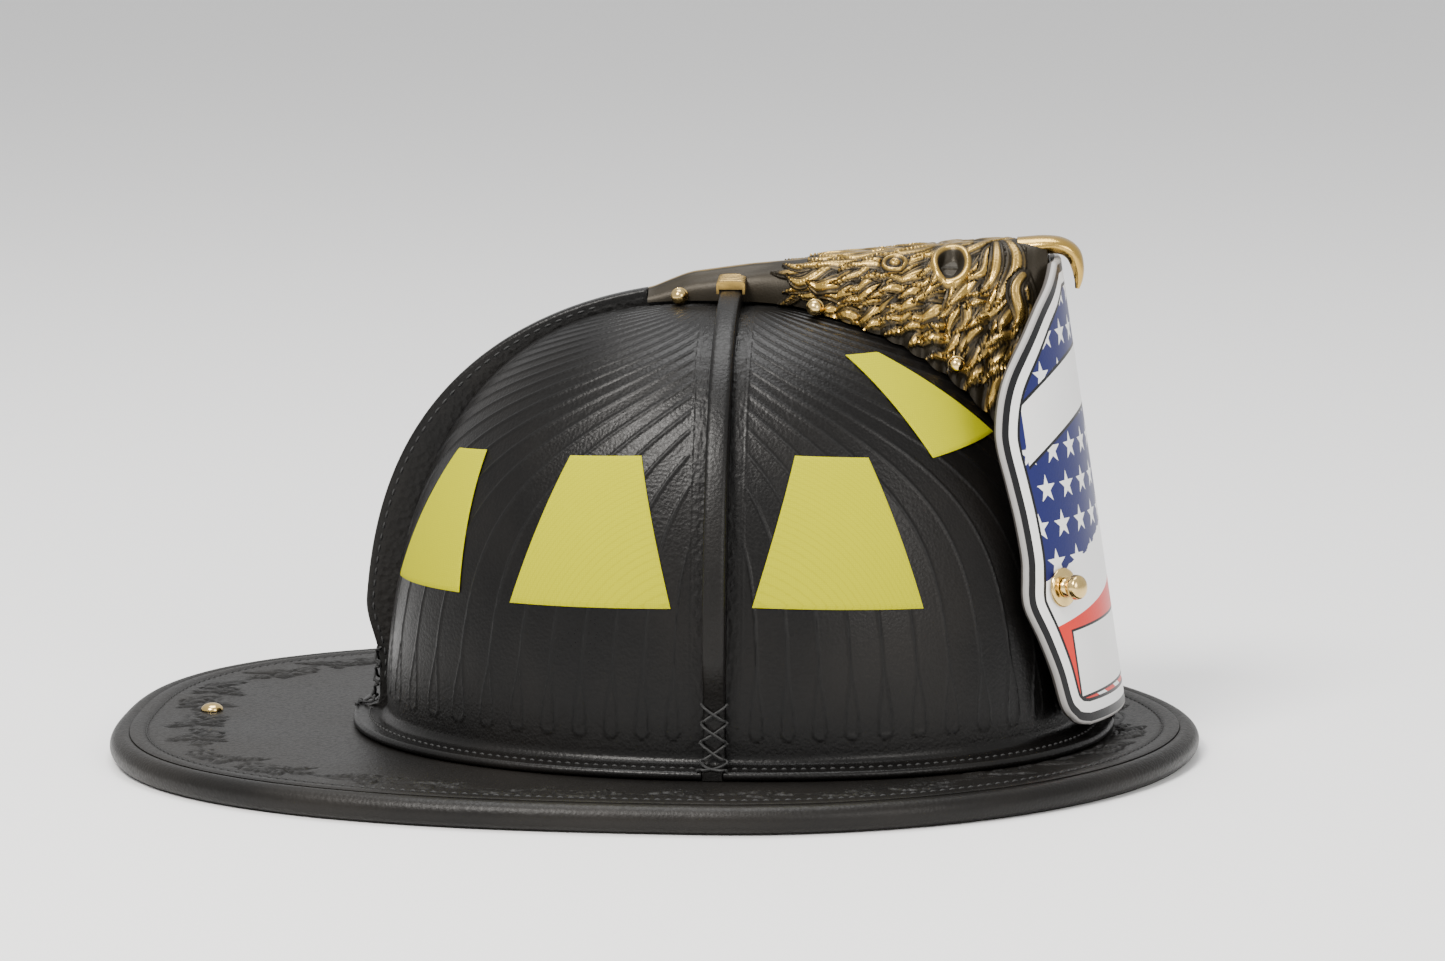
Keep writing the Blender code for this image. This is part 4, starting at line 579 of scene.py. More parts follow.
def toolQuarter(p, t, outerRows):
    # label = place from the side comb + sweep * height^power; a finger lies round each whole label
    q, c = quarter, crown
    z = p[..., 2]
    height = np.clip((z - c["base"]) / c["rise"], 0, 1)
    label = q["fingers"] * ((1 - t) + q["sweep"] * height ** q["sweepPower"])
    stepU = np.linalg.norm(np.gradient(p, axis=1), axis=-1) + 1e-7
    stepV = np.linalg.norm(np.gradient(p, axis=0), axis=-1) + 1e-7
    slope = np.hypot(np.gradient(label, axis=1) / stepU, np.gradient(label, axis=0) / stepV)
    off = (label - np.round(label)) / slope
    half = q["halfFinger"] / slope * (1 - 0.97 * ease(z, c["base"] + 0.013, c["base"] + 0.034))
    below = np.minimum(z - c["base"] - q["loopHeight"], 0)
    gap = np.abs(np.hypot(off, below) - half)
    fromSide = np.abs(p[..., 1] - c["y"]) - q["edge"]
    fromEnd = np.abs(p[..., 0]) - q["edge"]
    clear = ease(fromSide, 0.004, 0.008) * ease(fromEnd, 0.006, 0.011)
    clear = clear * ease(z, c["base"] + 0.006, c["base"] + 0.009)
    crowd = ease(0.5 / slope, 0.0008, 0.0020)
    groove = dent(gap, q["grooveWidth"]) * clear * crowd
    swell = 0.00008 * np.sqrt(np.clip(np.abs(off) * slope * 2, 0, 1)) * clear * crowd * ease(z, 0.03, 0.07)
    wall = ease(z, c["base"] + 0.004, c["base"] + 0.008)
    stipple = np.maximum(0.55 - 0.55 * ease(fromSide, q["stippleSide"] * 0.7, q["stippleSide"]),
                         1 - ease(fromEnd, q["stippleEnd"] * 0.8, q["stippleEnd"])) * wall
    edgeLine = dent(fromSide - q["stippleSide"], 0.0004) * 0.5 + dent(fromEnd - q["stippleEnd"], 0.0005)
    rng = np.random.default_rng(7)
    pebble = np.clip(rng.normal(0, 1, z.shape), -2, 2)
    pebble = (pebble + np.roll(pebble, 1, 0) + np.roll(pebble, 1, 1) + np.roll(pebble, (1, 1), (0, 1))) / 2
    lift = swell - q["grooveDepth"] * groove - 0.00025 * edgeLine * wall + 0.00006 * pebble * stipple
    lift = lift * (np.arange(p.shape[0]) < outerRows)[:, None]
    return lift, groove, stipple


def makeQuarters():
    q = quarter
    for side, sideName in bothSides:
        for end, endName in ((1, "front"), (-1, "rear")):
            p, outerRows, t = quarterGrid(side, end)
            lift, groove, stipple = toolQuarter(p, t, outerRows)
            p = p + gridNormals(p) * (-side * end) * lift[..., None]
            node = f"crown_panel_{endName}_{sideName}"
            # painted shade: the leather finish darkens the tooled grooves by these groove values
            gridMesh(node + "_leather", np.transpose(p, (1, 0, 2)), crownLeather, "crown_leather", wrapU=True,
                     caps=True, values={"groove": groove.T * 0.8, "stipple": stipple.T}, stands=node)
            flange = p[q["stitchRow"], 2:-2] + (0, 0, 0.00005)
            stitchRow(f"flange_stitching_{endName}_{sideName}", flange, allAlong(flange, upward))


makeQuarters()
print("crown quarters tooled")


# combs

comb = {"thickness": 0.0075, "foot": 0.0035, "height": 0.009, "apex": 0.0072, "footTop": 0.028,
        "fullFrom": 0.052, "side": 2.08, "top": 3.0, "stitchDrop": 0.0021, "tail": 0.030,
        "bevel": 0.0016, "sideRows": 14, "fillet": 0.0009, "step": 0.0009}
lacing = {"reach": 0.0050, "thread": 0.00050, "turns": 2, "foot": (
    (0.0126, 0.0006), (0.0078, 0.0010), (0.0050, 0.0042), (0.0044, 0.0095), (0.0040, 0.0155), (0.0036, 0.0215))}
ridgeLine = ((-0.0300, 0.1634), (-0.0225, 0.1666), (-0.0154, 0.1694), (0.0056, 0.1724), (0.0336, 0.1755),
             (0.0615, 0.1785), (0.0893, 0.1815), (0.1049, 0.1826), (0.1120, 0.1818))
shieldShape = {"thickness": 0.0035, "bend": 0.075, "lean": math.tan(rad(8.8)), "bottom": 0.0175, "top": 0.1755,
               "half": 0.0711, "atTable": 0.1415, "screwUp": 0.0665, "screwArc": 0.0485}


def shieldFace(z, arc):
    # how far forward of the crown's middle the shield's face is: a plane that leans back, bent to a radius
    s = shieldShape
    return s["atTable"] - s["lean"] * z - s["bend"] * (1 - np.cos(arc / s["bend"]))


def shieldBack(x, z):
    s = shieldShape
    arc = s["bend"] * np.arcsin(np.minimum(np.abs(x) / s["bend"], 1))
    return shieldFace(z, arc) - s["thickness"] * 1.08


def combCrest(half, turns):
    # superellipse crest, brought down to the foot near the flange
    c, b = crown, comb
    out = (half + b["height"]) * np.cos(turns) ** (2 / b["side"])
    up = c["base"] + (c["rise"] + b["apex"]) * np.sin(turns) ** (2 / b["top"])
    return out - (b["height"] - b["foot"]) * (1 - ease(up, b["footTop"], b["fullFrom"])), up


def combGrid(half, end):
    # sections of a rounded strip between the crown's inside and the crest; end is 0 for a side comb
    c, b = crown, comb
    turns = np.linspace(0.0, rad(90), 500)
    out, up = combCrest(half, turns)
    keep = up > c["base"] + c["wall"]
    flange, foot = half + c["flange"], half + b["foot"]
    start = ((flange, c["under"]), (flange, c["base"]), (foot + c["wall"], c["base"]),
             (foot + b["fillet"], c["base"] + b["fillet"]))
    crest = np.vstack([start, points(out[keep], up[keep])])
    if end:
        ridge = softTable(-end * crest[:, 0], ridgeLine, 0.003) - 0.0029
        under = ease(crest[:, 0], b["tail"] - 0.0001, b["tail"] + 0.0002) if end > 0 else 0.0
        crest[:, 1] = np.minimum(crest[:, 1], np.where(under > 0.5, 9.0, ridge))
    if end < 0:
        crest[:, 0] = np.minimum(crest[:, 0], shieldBack(0.0, crest[:, 1]) - 0.0006)
    crest = crest[crest[:, 0] > (0.00015 if end else b["thickness"] / 2 + 0.0003)]
    crest = evenPath(crest, b["step"])
    climbs = np.linspace(0.0, rad(89.5), 400)
    across, rise = climbShares(climbs)
    inside = points((half - c["wall"]) * across, c["base"] + (c["rise"] - c["wall"]) * rise)
    inside = np.vstack([[half - c["wall"], c["under"]], inside])
    inside = evenPath(inside[inside[:, 0] > crest[-1, 0] * 0.98], b["step"])
    pick = np.linspace(0, len(inside) - 1, len(crest))
    return crest, readAlong(pick, np.arange(len(inside)), inside)


def besideComb(line, sideways, direction):
    # a line of (out, up) in a comb's own plane, moved sideways and put in the frame
    d = np.array(direction, float)
    lateral = np.array([-d[1], d[0], 0.0])
    return line[..., :1] * d + sideways * lateral + line[..., 1:] * upward + (0, crown["y"], 0)


def makeComb(name, half, direction, end):
    # section: up one side, over a rounded crest and down the other side; end is 0 for a side comb
    crest, inside = combGrid(half, end)
    b = comb
    bevel, rows, w = b["bevel"], b["sideRows"], b["thickness"] / 2
    down = unit(inside - crest)
    depth = np.linalg.norm(inside - crest, axis=1)
    over = np.linspace(0.8, -0.8, 7)
    lateral = np.concatenate([np.full(rows, w), [w * 0.93], over * w, [-w * 0.93], np.full(rows, -w)])
    arch = bevel * (1 - np.sqrt(np.clip(1 - np.abs(over) ** 4, 0, 1)))
    dropTop = np.concatenate([[bevel * 0.30], arch * 0.4, [bevel * 0.30]])
    dropSide = bevel * 0.8 + (depth[:, None] - bevel * 0.8) * np.linspace(1, 0, rows)[None, :]
    drop = np.hstack([dropSide, np.tile(dropTop, (len(crest), 1)), dropSide[:, ::-1]])
    flat = crest[:, None] + down[:, None] * drop[..., None]
    rng = np.random.default_rng(11)
    rough = np.clip(rng.normal(0, 1, drop.shape), -2, 2)
    proud = ease(drop, 0.0030, 0.0042) if end else ease(drop, 0.0024, 0.0034)
    lateral = lateral[None, :] * (1 + 0.010 * rough * proud * (1 if end else 0.3))
    # painted shade: a line along the stitching that the leather finish darkens; the mesh is not cut there
    groove = dent(drop - b["stitchDrop"] - 0.0004, 0.0004) * (1 if end else 0.5)
    gridMesh(f"{name}_leather", besideComb(flat, lateral[..., None], direction), combLeather, "comb_leather",
             wrapU=True, caps=True, stands=name,
             values={"stipple": proud * (1.0 if end else 0.35), "groove": groove * 0.6})
    if end:
        line = crest + down * (b["stitchDrop"] + 0.0006)
        line = line[(line[:, 1] > 0.02) & (line[:, 1] < 0.158)]
        for sign, sideName in bothSides:
            path = besideComb(line, sign * (w + 0.0001), direction)
            outward = np.array((-direction[1], direction[0], 0.0)) * sign
            stitchRow(f"{name}_stitching_{sideName}", path, allAlong(path, outward),
                      0.0042, 0.0033)


def makeLacing(name, half, direction):
    # two threads that cross four times over the comb's foot, from the flange's edge up the wall
    way = evenPath(smoothPath([(half + out, crown["base"] + up) for out, up in lacing["foot"]], 8), 0.0004)
    share = np.linspace(0, 1, len(way))
    turn = share * lacing["turns"] * tau
    for number, flip in enumerate((1, -1)):
        swing = 2 / math.pi * np.arcsin(np.sin(turn + 0.5 * math.pi)) * flip
        swing = swing * (1 + 0.08 * np.sin(share * 23 + number))
        outside = 0.0009 - 0.0016 * ease(np.abs(swing), 0.62, 0.80) + 0.0003 * flip * np.sin(turn)
        path = besideComb(points(way[:, 0] + outside, way[:, 1]), (swing * lacing["reach"])[:, None], direction)
        tube(f"{name}_{number}", path, lacing["thread"], blackThread, "comb_leather", 6)


for combName, half, direction, end in (("comb_front", crown["length"] / 2, (0, -1, 0), -1),
                                       ("comb_rear", crown["length"] / 2, (0, 1, 0), 1),
                                       ("comb_left", crown["width"] / 2, (1, 0, 0), 0),
                                       ("comb_right", crown["width"] / 2, (-1, 0, 0), 0)):
    makeComb(combName, half, direction, end)
    makeLacing(combName.replace("comb", "lacing"), half, direction)
print("combs made")


# brim with its leaf border

brim = {"front": 0.165, "rear": 0.220, "half": 0.145, "frontPower": 1.9, "rearPower": 2.6, "bead": 0.00475,
        "step": 0.0023, "top": 0.0095, "under": 0.006, "columns": 1240, "rows": 54, "stitch": 0.0130,
        "leafCells": 16, "leafDepth": 0.00055, "wire": 0.0017, "slit": (192.0, 205.0)}


def brimEdge(turn, inset):
    # a point at an inset from the outline, and the outward direction there
    def edge(a):
        b = brim
        radius = planRadius(a, b["front"], b["rear"], b["half"], b["frontPower"], b["rearPower"])
        return planPoint(a, radius, 0.0)
    ahead = edge(turn + 0.001) - edge(turn - 0.001)
    outward = unit(np.stack([ahead[..., 1], -ahead[..., 0], 0 * ahead[..., 0]], -1))
    return edge(turn) - outward * inset, outward


leaves = ((-0.022, 0.000, 24, 0.0190, 0.0044), (-0.012, 0.0015, -38, 0.0165, 0.0040),
          (-0.006, -0.001, 58, 0.0130, 0.0034), (0.004, 0.0005, 18, 0.0200, 0.0046),
          (0.012, 0.001, -46, 0.0150, 0.0038), (0.019, -0.0005, 52, 0.0120, 0.0032),
          (0.022, 0.0010, -20, 0.0160, 0.0036))   # place along, place across, degrees, length, half width


def leafRelief(s, across, cell):
    # each leaf is raised inside a lobed outline |across| < w(x), with a groove round it, a midrib and
    # slanted veins
    lift, line = np.zeros_like(s), np.zeros_like(s)
    local = (s / cell - np.floor(s / cell) - 0.5) * cell
    flip = np.where(np.floor(s / cell) % 2 > 0.5, -1.0, 1.0)
    for place, shift, turn, length, half in leaves:
        x0, y0 = local - place, across * flip - shift
        x = x0 * math.cos(rad(turn)) + y0 * math.sin(rad(turn))
        y = -x0 * math.sin(rad(turn)) + y0 * math.cos(rad(turn))
        y = y - 0.12 * length * np.sin(np.clip(x / length, 0, 1) * math.pi)
        share = np.clip(x / length, 0, 1)
        w = half * np.sin(share ** 0.8 * math.pi) ** 0.8 * (1 - 0.30 * np.abs(np.sin(share * 4.0 * math.pi)))
        within = ((x > 0) & (x < length)).astype(float)
        rise = ease(w - np.abs(y), 0.0, 0.0009) * within
        outline = dent(np.abs(y) - w, 0.00042) * within
        rib = dent(y, 0.0003) * within * ease(length - x, 0, 0.002)
        vein = dent(((x - np.abs(y) * 1.2) % 0.0026) - 0.0013, 0.00030) * rise * 0.6
        lift = np.maximum(lift, rise * (1 - 0.4 * np.abs(y) / np.maximum(w, 1e-5)))
        line = np.maximum(line, np.maximum(outline, np.maximum(rib, vein)))
    stem = dent(across - 0.0030 * np.sin(local / cell * tau), 0.0005)
    return lift, np.maximum(line, stem * 0.8)


def makeBrim():
    # rows run from the crown's wall out to the binding, over the leaf border, and back underneath
    b = brim
    turn = np.arange(b["columns"]) / b["columns"] * tau
    edge, _ = brimEdge(turn, b["bead"] + b["step"])
    inner = planPoint(turn, crownRadius(turn, crown["wall"]), 0.0)
    share = np.concatenate([[0.0], np.linspace(0.18, 1.0, b["rows"])])[:, None, None]
    top = inner + (edge - inner) * share
    top[..., 2] = b["top"]
    width = np.linalg.norm(edge - inner, axis=-1)[None, :]
    inset = b["bead"] + b["step"] + width * (1 - share[..., 0])
    rim, _ = brimEdge(turn, 0.024)
    s = lengths(rim)
    total = s[-1] + np.linalg.norm(rim[0] - rim[-1])
    ends = np.cos(turn)[None, :] ** 2    # the border is wider at the front and rear
    scale, middle = 0.70 + 0.42 * ends, 0.0205 + 0.0085 * ends
    lift, line = leafRelief(s[None, :] + 0 * inset, (inset - middle) / scale, total / b["leafCells"])
    inBand = ease(inset, 0.0142, 0.0155) * ease(share[..., 0] * width, 0.0145, 0.017)
    lift, line = lift * inBand, line * inBand
    channel = dent(inset - b["stitch"], 0.0008)
    pad = dent(inset - 0.0095, 0.0022) * 0.00025
    top[..., 2] += b["leafDepth"] * lift - 0.00055 * line - 0.00030 * channel + pad
    top[-1, :, 2] = b["top"] - 0.0001
    under = inner + (edge - inner) * np.linspace(1, 0, 5)[:, None, None]
    under[..., 2] = b["under"]
    p = np.concatenate([top, under])
    # painted shade: the leaf lines and the stitch channel are darkened by the leather finish
    groove = np.zeros(p.shape[:2])
    groove[:len(top)] = np.clip(line * 0.7 + channel * 0.6, 0, 1)
    gridMesh("brim_leather", p, brimLeather, "brim_leather", wrapU=True, wrapV=True, stands="brim",
             values={"groove": groove, "stipple": 0.0})
    path, _ = brimEdge(np.linspace(0, tau, 1400), b["stitch"])
    for name, z, facing in (("brim_stitching", b["top"] - 0.00015, upward),
                            ("brim_stitching_under", b["under"] + 0.00005, -upward)):
        stitchRow(name, path + z * upward, allAlong(path, facing), 0.0036, 0.0028)


def arcPoints(centre, radius, first, last, count):
    # a circle's arc between two angles in degrees
    turn = np.radians(np.linspace(first, last, count))
    return points(centre[0] + radius * np.cos(turn), centre[1] + radius * np.sin(turn))


def makeBead():
    # an open roll of leather round the wire, with a step that takes the brim's edge
    b = brim
    r, floor = b["bead"], b["bead"] - 0.0035
    crest = math.degrees(math.acos(-b["step"] / r))
    notch = 180 - math.degrees(math.asin(floor / r))
    section = np.vstack([arcPoints((0, 0), r, b["slit"][1], 248, 6), [(-0.0018, -r), (0.0018, -r)],
                         arcPoints((0, 0), r, 292 - 360, crest, 34), [(-b["step"], floor)],
                         arcPoints((0, 0), r, notch, b["slit"][0], 5),
                         arcPoints((0.0004, -0.0006), b["wire"] + 0.0003, b["slit"][0],
                                   b["slit"][1] - 360, 20)])
    turn = np.arange(760) / 760 * tau
    middle, outward = brimEdge(turn, r)
    middle[:, 2] = r
    wander = 1 + 0.006 * np.sin(turn * 37) * np.sin(turn * 11 + 1)
    p = middle[:, None] + outward[:, None] * section[None, :, :1] + upward * section[None, :, 1:]
    p[..., 2] = np.where(p[..., 2] > r, r + (p[..., 2] - r) * np.minimum(wander, 1.0)[:, None], p[..., 2])
    gridMesh("brim_binding_leather", p, brimLeather, "brim_leather", wrapU=True, wrapV=True,
             stands="brim_binding", values={"groove": 0.0, "stipple": 0.0})
    place = middle + outward * 0.0004 - upward * 0.0006
    tube("brim_wire", place[::2], b["wire"], steel, "steel", 16, closed=True, stands="brim_edge_wire")


makeBrim()
makeBead()
print("brim made")


# reflective trim

trims = {"rear": ((169.0, 145.5), (19.8, 20.4), (149.5, 159.3), (42.5, 41.7)),
         "mid_rear": ((133.6, 99.7), (20.0, 20.5), (109.7, 127.2), (43.8, 43.2)),
         "mid_front": ((82.1, 47.4), (20.8, 20.0), (53.2, 70.6), (43.4, 44.1)),
         "upper_front": ((38.2, 17.4), (42.6, 45.4), (35.4, 46.6), (65.5, 65.3))}


def makeTrims():
    # a patch between four corners, each (angle, climb), laid on the crown's own surface
    u, v = np.linspace(0, 1, 60)[None, :], np.linspace(0, 1, 60)[:, None]

    def across(low, top):
        return np.radians((low[1] * (1 - u) + low[0] * u) * (1 - v) + (top[0] * (1 - u) + top[1] * u) * v)
    for name, (lowTurn, lowClimb, topTurn, topClimb) in trims.items():
        turn, climb = across(lowTurn, topTurn), across(lowClimb, topClimb)
        edge = np.minimum(np.minimum(u, 1 - u), np.minimum(v, 1 - v))
        face = crownPoint(turn, climb, -0.00048 - 0.00030 * ease(edge, 0, 0.02))
        back = crownPoint(turn, climb, -0.00030)
        for side, sideName in bothSides:
            p = np.concatenate([face, back[::-1]]) * (side, 1, 1)
            node = f"reflective_trim_{name}_{sideName}"
            gridMesh(node + "_vinyl", np.transpose(p, (1, 0, 2)), lime, "reflective_trim", wrapU=True,
                     caps=True, stands=node)


makeTrims()
print("trim laid")


# front holder

holder = {"tail": -0.030, "body": 0.112, "wall": 0.0026, "stations": 400, "columns": 216, "relief": 0.0021,
          "sidePower": 0.9, "round": 0.75, "footRoom": 0.0012}
holderSpread = ((-0.0300, 0.0062), (-0.0200, 0.0066), (-0.0060, 0.0080), (0.0080, 0.0095), (0.0200, 0.0140),
                (0.0340, 0.0220), (0.0500, 0.0270), (0.0700, 0.0285), (0.0850, 0.0262), (0.0960, 0.0238),
                (0.1060, 0.0205), (0.1120, 0.0160))
beakPath = ((0.1000, 0.1780, 0.0060, 0.0045), (0.1085, 0.1797, 0.0062, 0.0034),
            (0.1145, 0.1794, 0.0058, 0.0030), (0.1185, 0.1768, 0.0050, 0.0028),
            (0.1202, 0.1722, 0.0038, 0.0023), (0.1206, 0.1680, 0.0024, 0.0016),
            (0.1202, 0.1645, 0.0010, 0.0008))   # forward, height, half width, half depth


def holderSkin(x, wide, top, forward):
    # from a foot just off the crown up to the ridge, rounded by a power of sqrt(1 - lean^2)
    foot = np.minimum(crownHeight(x, forward) + holder["footRoom"], top - 0.002)
    lean = np.minimum(np.abs(x) / wide, 1) ** (1 / holder["sidePower"])
    return foot + (top - foot) * np.sqrt(1 - lean * lean) ** holder["round"]


def locks(forward, down, stations, depths):
    # overlapping feathers, lowest row first: each is a curved centre line with a width at every point, and
    # stands sqrt(1 - (distance / width)^2) proud, with ridges that follow its outline
    rng = np.random.default_rng(5)
    relief = np.zeros_like(forward)
    t = np.linspace(0, 1, 22)[:, None]
    for row in range(8):
        for tip in np.arange(0.013 + 0.0034 * (row % 2), 0.122, 0.0068):
            tip = tip + rng.uniform(-0.0014, 0.0014)
            low = np.interp(tip, stations, depths) + 0.0008 - row * 0.0056 + rng.uniform(-0.0012, 0.0012)
            if low < 0.0030:
                continue
            swing = rad(8 + 60 * float(ease(tip, 0.02, 0.10))) + rng.uniform(-0.10, 0.10)
            swing = swing + 0.30 * math.sin(tip * 160 + row * 0.8)
            way = np.array((-math.cos(swing), math.sin(swing)))
            square = np.array((math.sin(swing), math.cos(swing)))
            length, fat = rng.uniform(0.020, 0.031), rng.uniform(0.0031, 0.0045)
            bow, sway = rng.uniform(0.0005, 0.0050), rng.uniform(-0.0022, 0.0022)
            line = np.array((tip, low)) - way * length * (1 - t)
            line = line + square * (bow * np.sin(math.pi * t) + sway * np.sin(tau * t))
            width = fat * (0.62 + 0.38 * np.sin(math.pi * t[:, 0])) * (1 - t[:, 0] ** 3) ** 0.7 + 0.00005
            near = np.hypot(forward - line[11, 0], down - line[11, 1]) < length * 0.75
            away = np.hypot(forward[near][:, None] - line[:, 0], down[near][:, None] - line[:, 1]) / width
            place, ratio = away.argmin(1) / 21, away.min(1)
            body = np.sqrt(np.clip(1 - ratio ** 2, 0, 1)) * (0.62 + 0.38 * place)
            barbs = 1 - 0.42 * dent(ratio - 0.58, 0.14) - 0.20 * dent(ratio, 0.10)
            under = relief[near]
            relief[near] = np.where(ratio < 1, np.maximum(body * barbs, under * 0.30), under)
    return relief


def makeHolder():
    # body: the outer skin with its feathers, then the inside back round, with a slot over the comb
    h = holder
    forward = np.linspace(h["tail"], h["body"], h["stations"])[:, None]
    ridge = softTable(forward, ridgeLine, 0.004)
    half = softTable(forward, holderSpread, 0.006)
    ragged = 0.06 * np.abs(np.sin(forward * 420)) * (1 - ease(forward, 0.100, 0.108))
    half = half * (1 + (ragged - 0.03) * ease(forward, 0.024, 0.034))
    lean = np.cos(np.linspace(0, math.pi, h["columns"]))[None, :]
    x = -half * np.sign(lean) * np.abs(lean) ** h["sidePower"]
    z = holderSkin(x, half, ridge, forward)
    outer = points(x, -forward, z)
    down = np.abs(np.cumsum(np.linalg.norm(np.diff(outer, axis=1, prepend=outer[:, :1]), axis=-1), 1)
                  - np.linalg.norm(np.diff(outer, axis=1), axis=-1).sum(1, keepdims=True) / 2)
    f = forward + 0 * x
    feathers = locks(f, down, forward[:, 0], down.max(1))
    hollow = np.hypot((f - 0.0765) / 0.0050, (down - 0.0170) / 0.0078)
    rimmed = dent(hollow - 1.15, 0.32)
    pit = 1 - ease(hollow, 0.45, 1.0)
    boss = np.hypot((f - 0.0570) / 0.0040, (down - 0.0165) / 0.0044)
    scroll = dent(boss - 0.95, 0.26) + dent(boss - 0.25, 0.25)
    feathers = feathers * ease(hollow, 0.9, 1.5) * ease(boss, 0.9, 1.5)
    relief = np.maximum(np.maximum(feathers, rimmed * 0.95), scroll * 0.9) - pit * 1.1
    carved = ease(f, 0.004, 0.024)
    relief = relief * carved
    clearBack = 1 - ease(f, h["body"] - 0.012, h["body"] - 0.004) * 0.7
    lift = h["relief"] * (relief - 0.35 * carved) * clearBack * (1 - 0.55 * dent(down, 0.004))
    tailHollow = -0.0009 * dent(down - 0.0055, 0.003) * (1 - carved)
    normal = gridNormals(outer)
    normal = normal * np.sign((normal * points(x, 0, 0.004)).sum(-1, keepdims=True))
    outer = outer + normal * (lift + tailHollow)[..., None]
    combSide = comb["thickness"] / 2 + 0.0003
    innerHalf = np.maximum(half - h["wall"], combSide + 0.0004)
    top = ridge - h["wall"]
    roof = top - 0.0001
    edge = holderSkin(innerHalf, innerHalf, top, forward)
    mid = (innerHalf + combSide) / 2
    side = [(innerHalf, edge), (mid, holderSkin(mid, innerHalf, top, forward)),
            (combSide + 0 * half, np.minimum(holderSkin(combSide, innerHalf, top, forward), roof - 0.0002)),
            (combSide * 0.92 + 0 * half, roof)]
    inside = [np.concatenate([v, -forward, w], -1) for v, w in side]
    inside += [p * (-1, 1, 1) for p in inside[::-1]]
    ring = np.concatenate([outer, np.stack(inside, 1)], 1)
    limit = shieldBack(ring[..., 0], ring[..., 2]) - 0.0003
    ring[..., 1] = crown["y"] - np.minimum(-ring[..., 1], limit)
    shown = np.zeros(ring.shape[:2])
    # painted highlight: ridgeShine paints a bright brass line along the top of the holder, apart from its
    # relief
    ridgeShine = 0.85 * (1 - carved) * dent(down, 0.0022) + 0.55 * carved * dent(down, 0.0028)
    shown[:, :h["columns"]] = np.clip(relief * 0.95 * carved + ridgeShine, 0, 1)
    gridMesh("front_holder_casting", ring, antique, "antique_brass", wrapU=True, caps=True,
             stands="front_holder", values={"relief": shown})


def makeHook():
    # an ellipse carried along the hook's centre line
    path = smoothPath(beakPath, 10)
    place = points(0, crown["y"] - path[:, 0], path[:, 1])
    ahead = unit(np.gradient(place, axis=0))
    sideways = np.array((1.0, 0, 0))
    over = np.cross(sideways, ahead)
    turn = np.arange(40) / 40 * tau
    ring = (place[:, None] + sideways * (np.cos(turn) * path[:, 2:3])[..., None]
            + over[:, None] * (np.sin(turn) * path[:, 3:4])[..., None])
    gridMesh("front_holder_hook", ring, antique, "antique_brass", wrapU=True, caps=True,
             values={"relief": 0.92})


def makeArms():
    # a thin arched strip astride each side comb, with a bumpy back
    foot, lip, out = -0.0016, 0.0009, np.linspace(0.0028, 0.0172, 40)
    under = sideCrest(out) + 0.0003
    wide = comb["thickness"] / 2 + 0.0012
    turn = np.linspace(0, math.pi, 15)
    arch = points(np.cos(turn) * wide, 0.0016 + 0.0012 * np.sin(turn) ** 0.5)
    arch = np.vstack([[(wide, foot)], arch, [(-wide, foot), (lip - wide, foot), (lip - wide, 0.0),
                                             (wide - lip, 0.0), (wide - lip, foot)]])
    bumpy = 1 + 0.10 * np.sin(out * 2600)[:, None] * (arch[:, 1] > 0.0012)[None, :]
    for sign, sideName in bothSides:
        ring = points(sign * out[:, None], crown["y"] + arch[None, :, 0],
                      under[:, None] + arch[None, :, 1] * bumpy)
        gridMesh(f"front_holder_arm_{sideName}", ring, antique, "antique_brass", wrapU=True, caps=True,
                 values={"relief": np.clip(0.55 + 3.0 * (bumpy - 1), 0, 1)})


def sideCrest(out):
    # height of a side comb's crest: the comb's superellipse at a distance out from the middle
    reach = crown["width"] / 2 + comb["height"]
    share = 1 - np.minimum(out / reach, 1) ** comb["side"]
    return crown["base"] + (crown["rise"] + comb["apex"]) * share ** (1 / comb["top"])


makeHolder()
makeHook()
makeArms()
print("holder cast")


# bolts, screws and rivet

def dome(radius, rise, seat, count=12):
    # a quarter ellipse from the axis down to the seat
    turn = np.linspace(rad(90), 0, count)
    return [(radius * math.cos(t) if t < rad(89.9) else 0.0, seat + rise * math.sin(t)) for t in turn]


bolt = {"head": 0.0030, "shank": 0.0015, "rise": 0.0022, "nut": 0.0030, "bore": 0.0018}
screw = {"knob": 0.0044, "waist": 0.0027, "collar": 0.0034, "shank": 0.0019, "washer": 0.0068, "bore": 0.0022,
         "washerFoot": 0.0005, "washerTop": 0.0017, "inside": 0.013}


def makeBolts():
    # a domed head on one side of the comb and a ball-ended nut on the other
    b, ball = bolt, bolt["nut"]
    for name in ("front", "middle", "rear"):
        low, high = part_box(f"holder_bolt_{name}")
        place = (0, (low.y + high.y) / 2, (low.z + high.z) / 2)
        seat = high.x - b["rise"]
        head = dome(b["head"], b["rise"], seat) + [(b["head"], seat - 0.0002), (b["shank"], seat - 0.0002),
                                                   (b["shank"], low.x), (0.0, low.x)]
        turned(f"holder_bolt_{name}_brass", head, place, (1, 0, 0), brass, "brass", 32,
               stands=f"holder_bolt_{name}")
        low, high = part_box(f"holder_nut_{name}")
        base, tip = -high.x, -low.x
        nut = dome(ball * 0.93, tip - base - 0.0026, base + 0.0026) + [
            (ball * 0.74, base + 0.0018), (ball * 0.80, base + 0.0012), (ball, base + 0.0008), (ball, base),
            (b["bore"], base), (b["bore"], tip - 0.0027), (0.0, tip - 0.0027)]
        turned(f"holder_nut_{name}_brass", nut, place, (-1, 0, 0), brass, "brass", 32,
               stands=f"holder_nut_{name}")


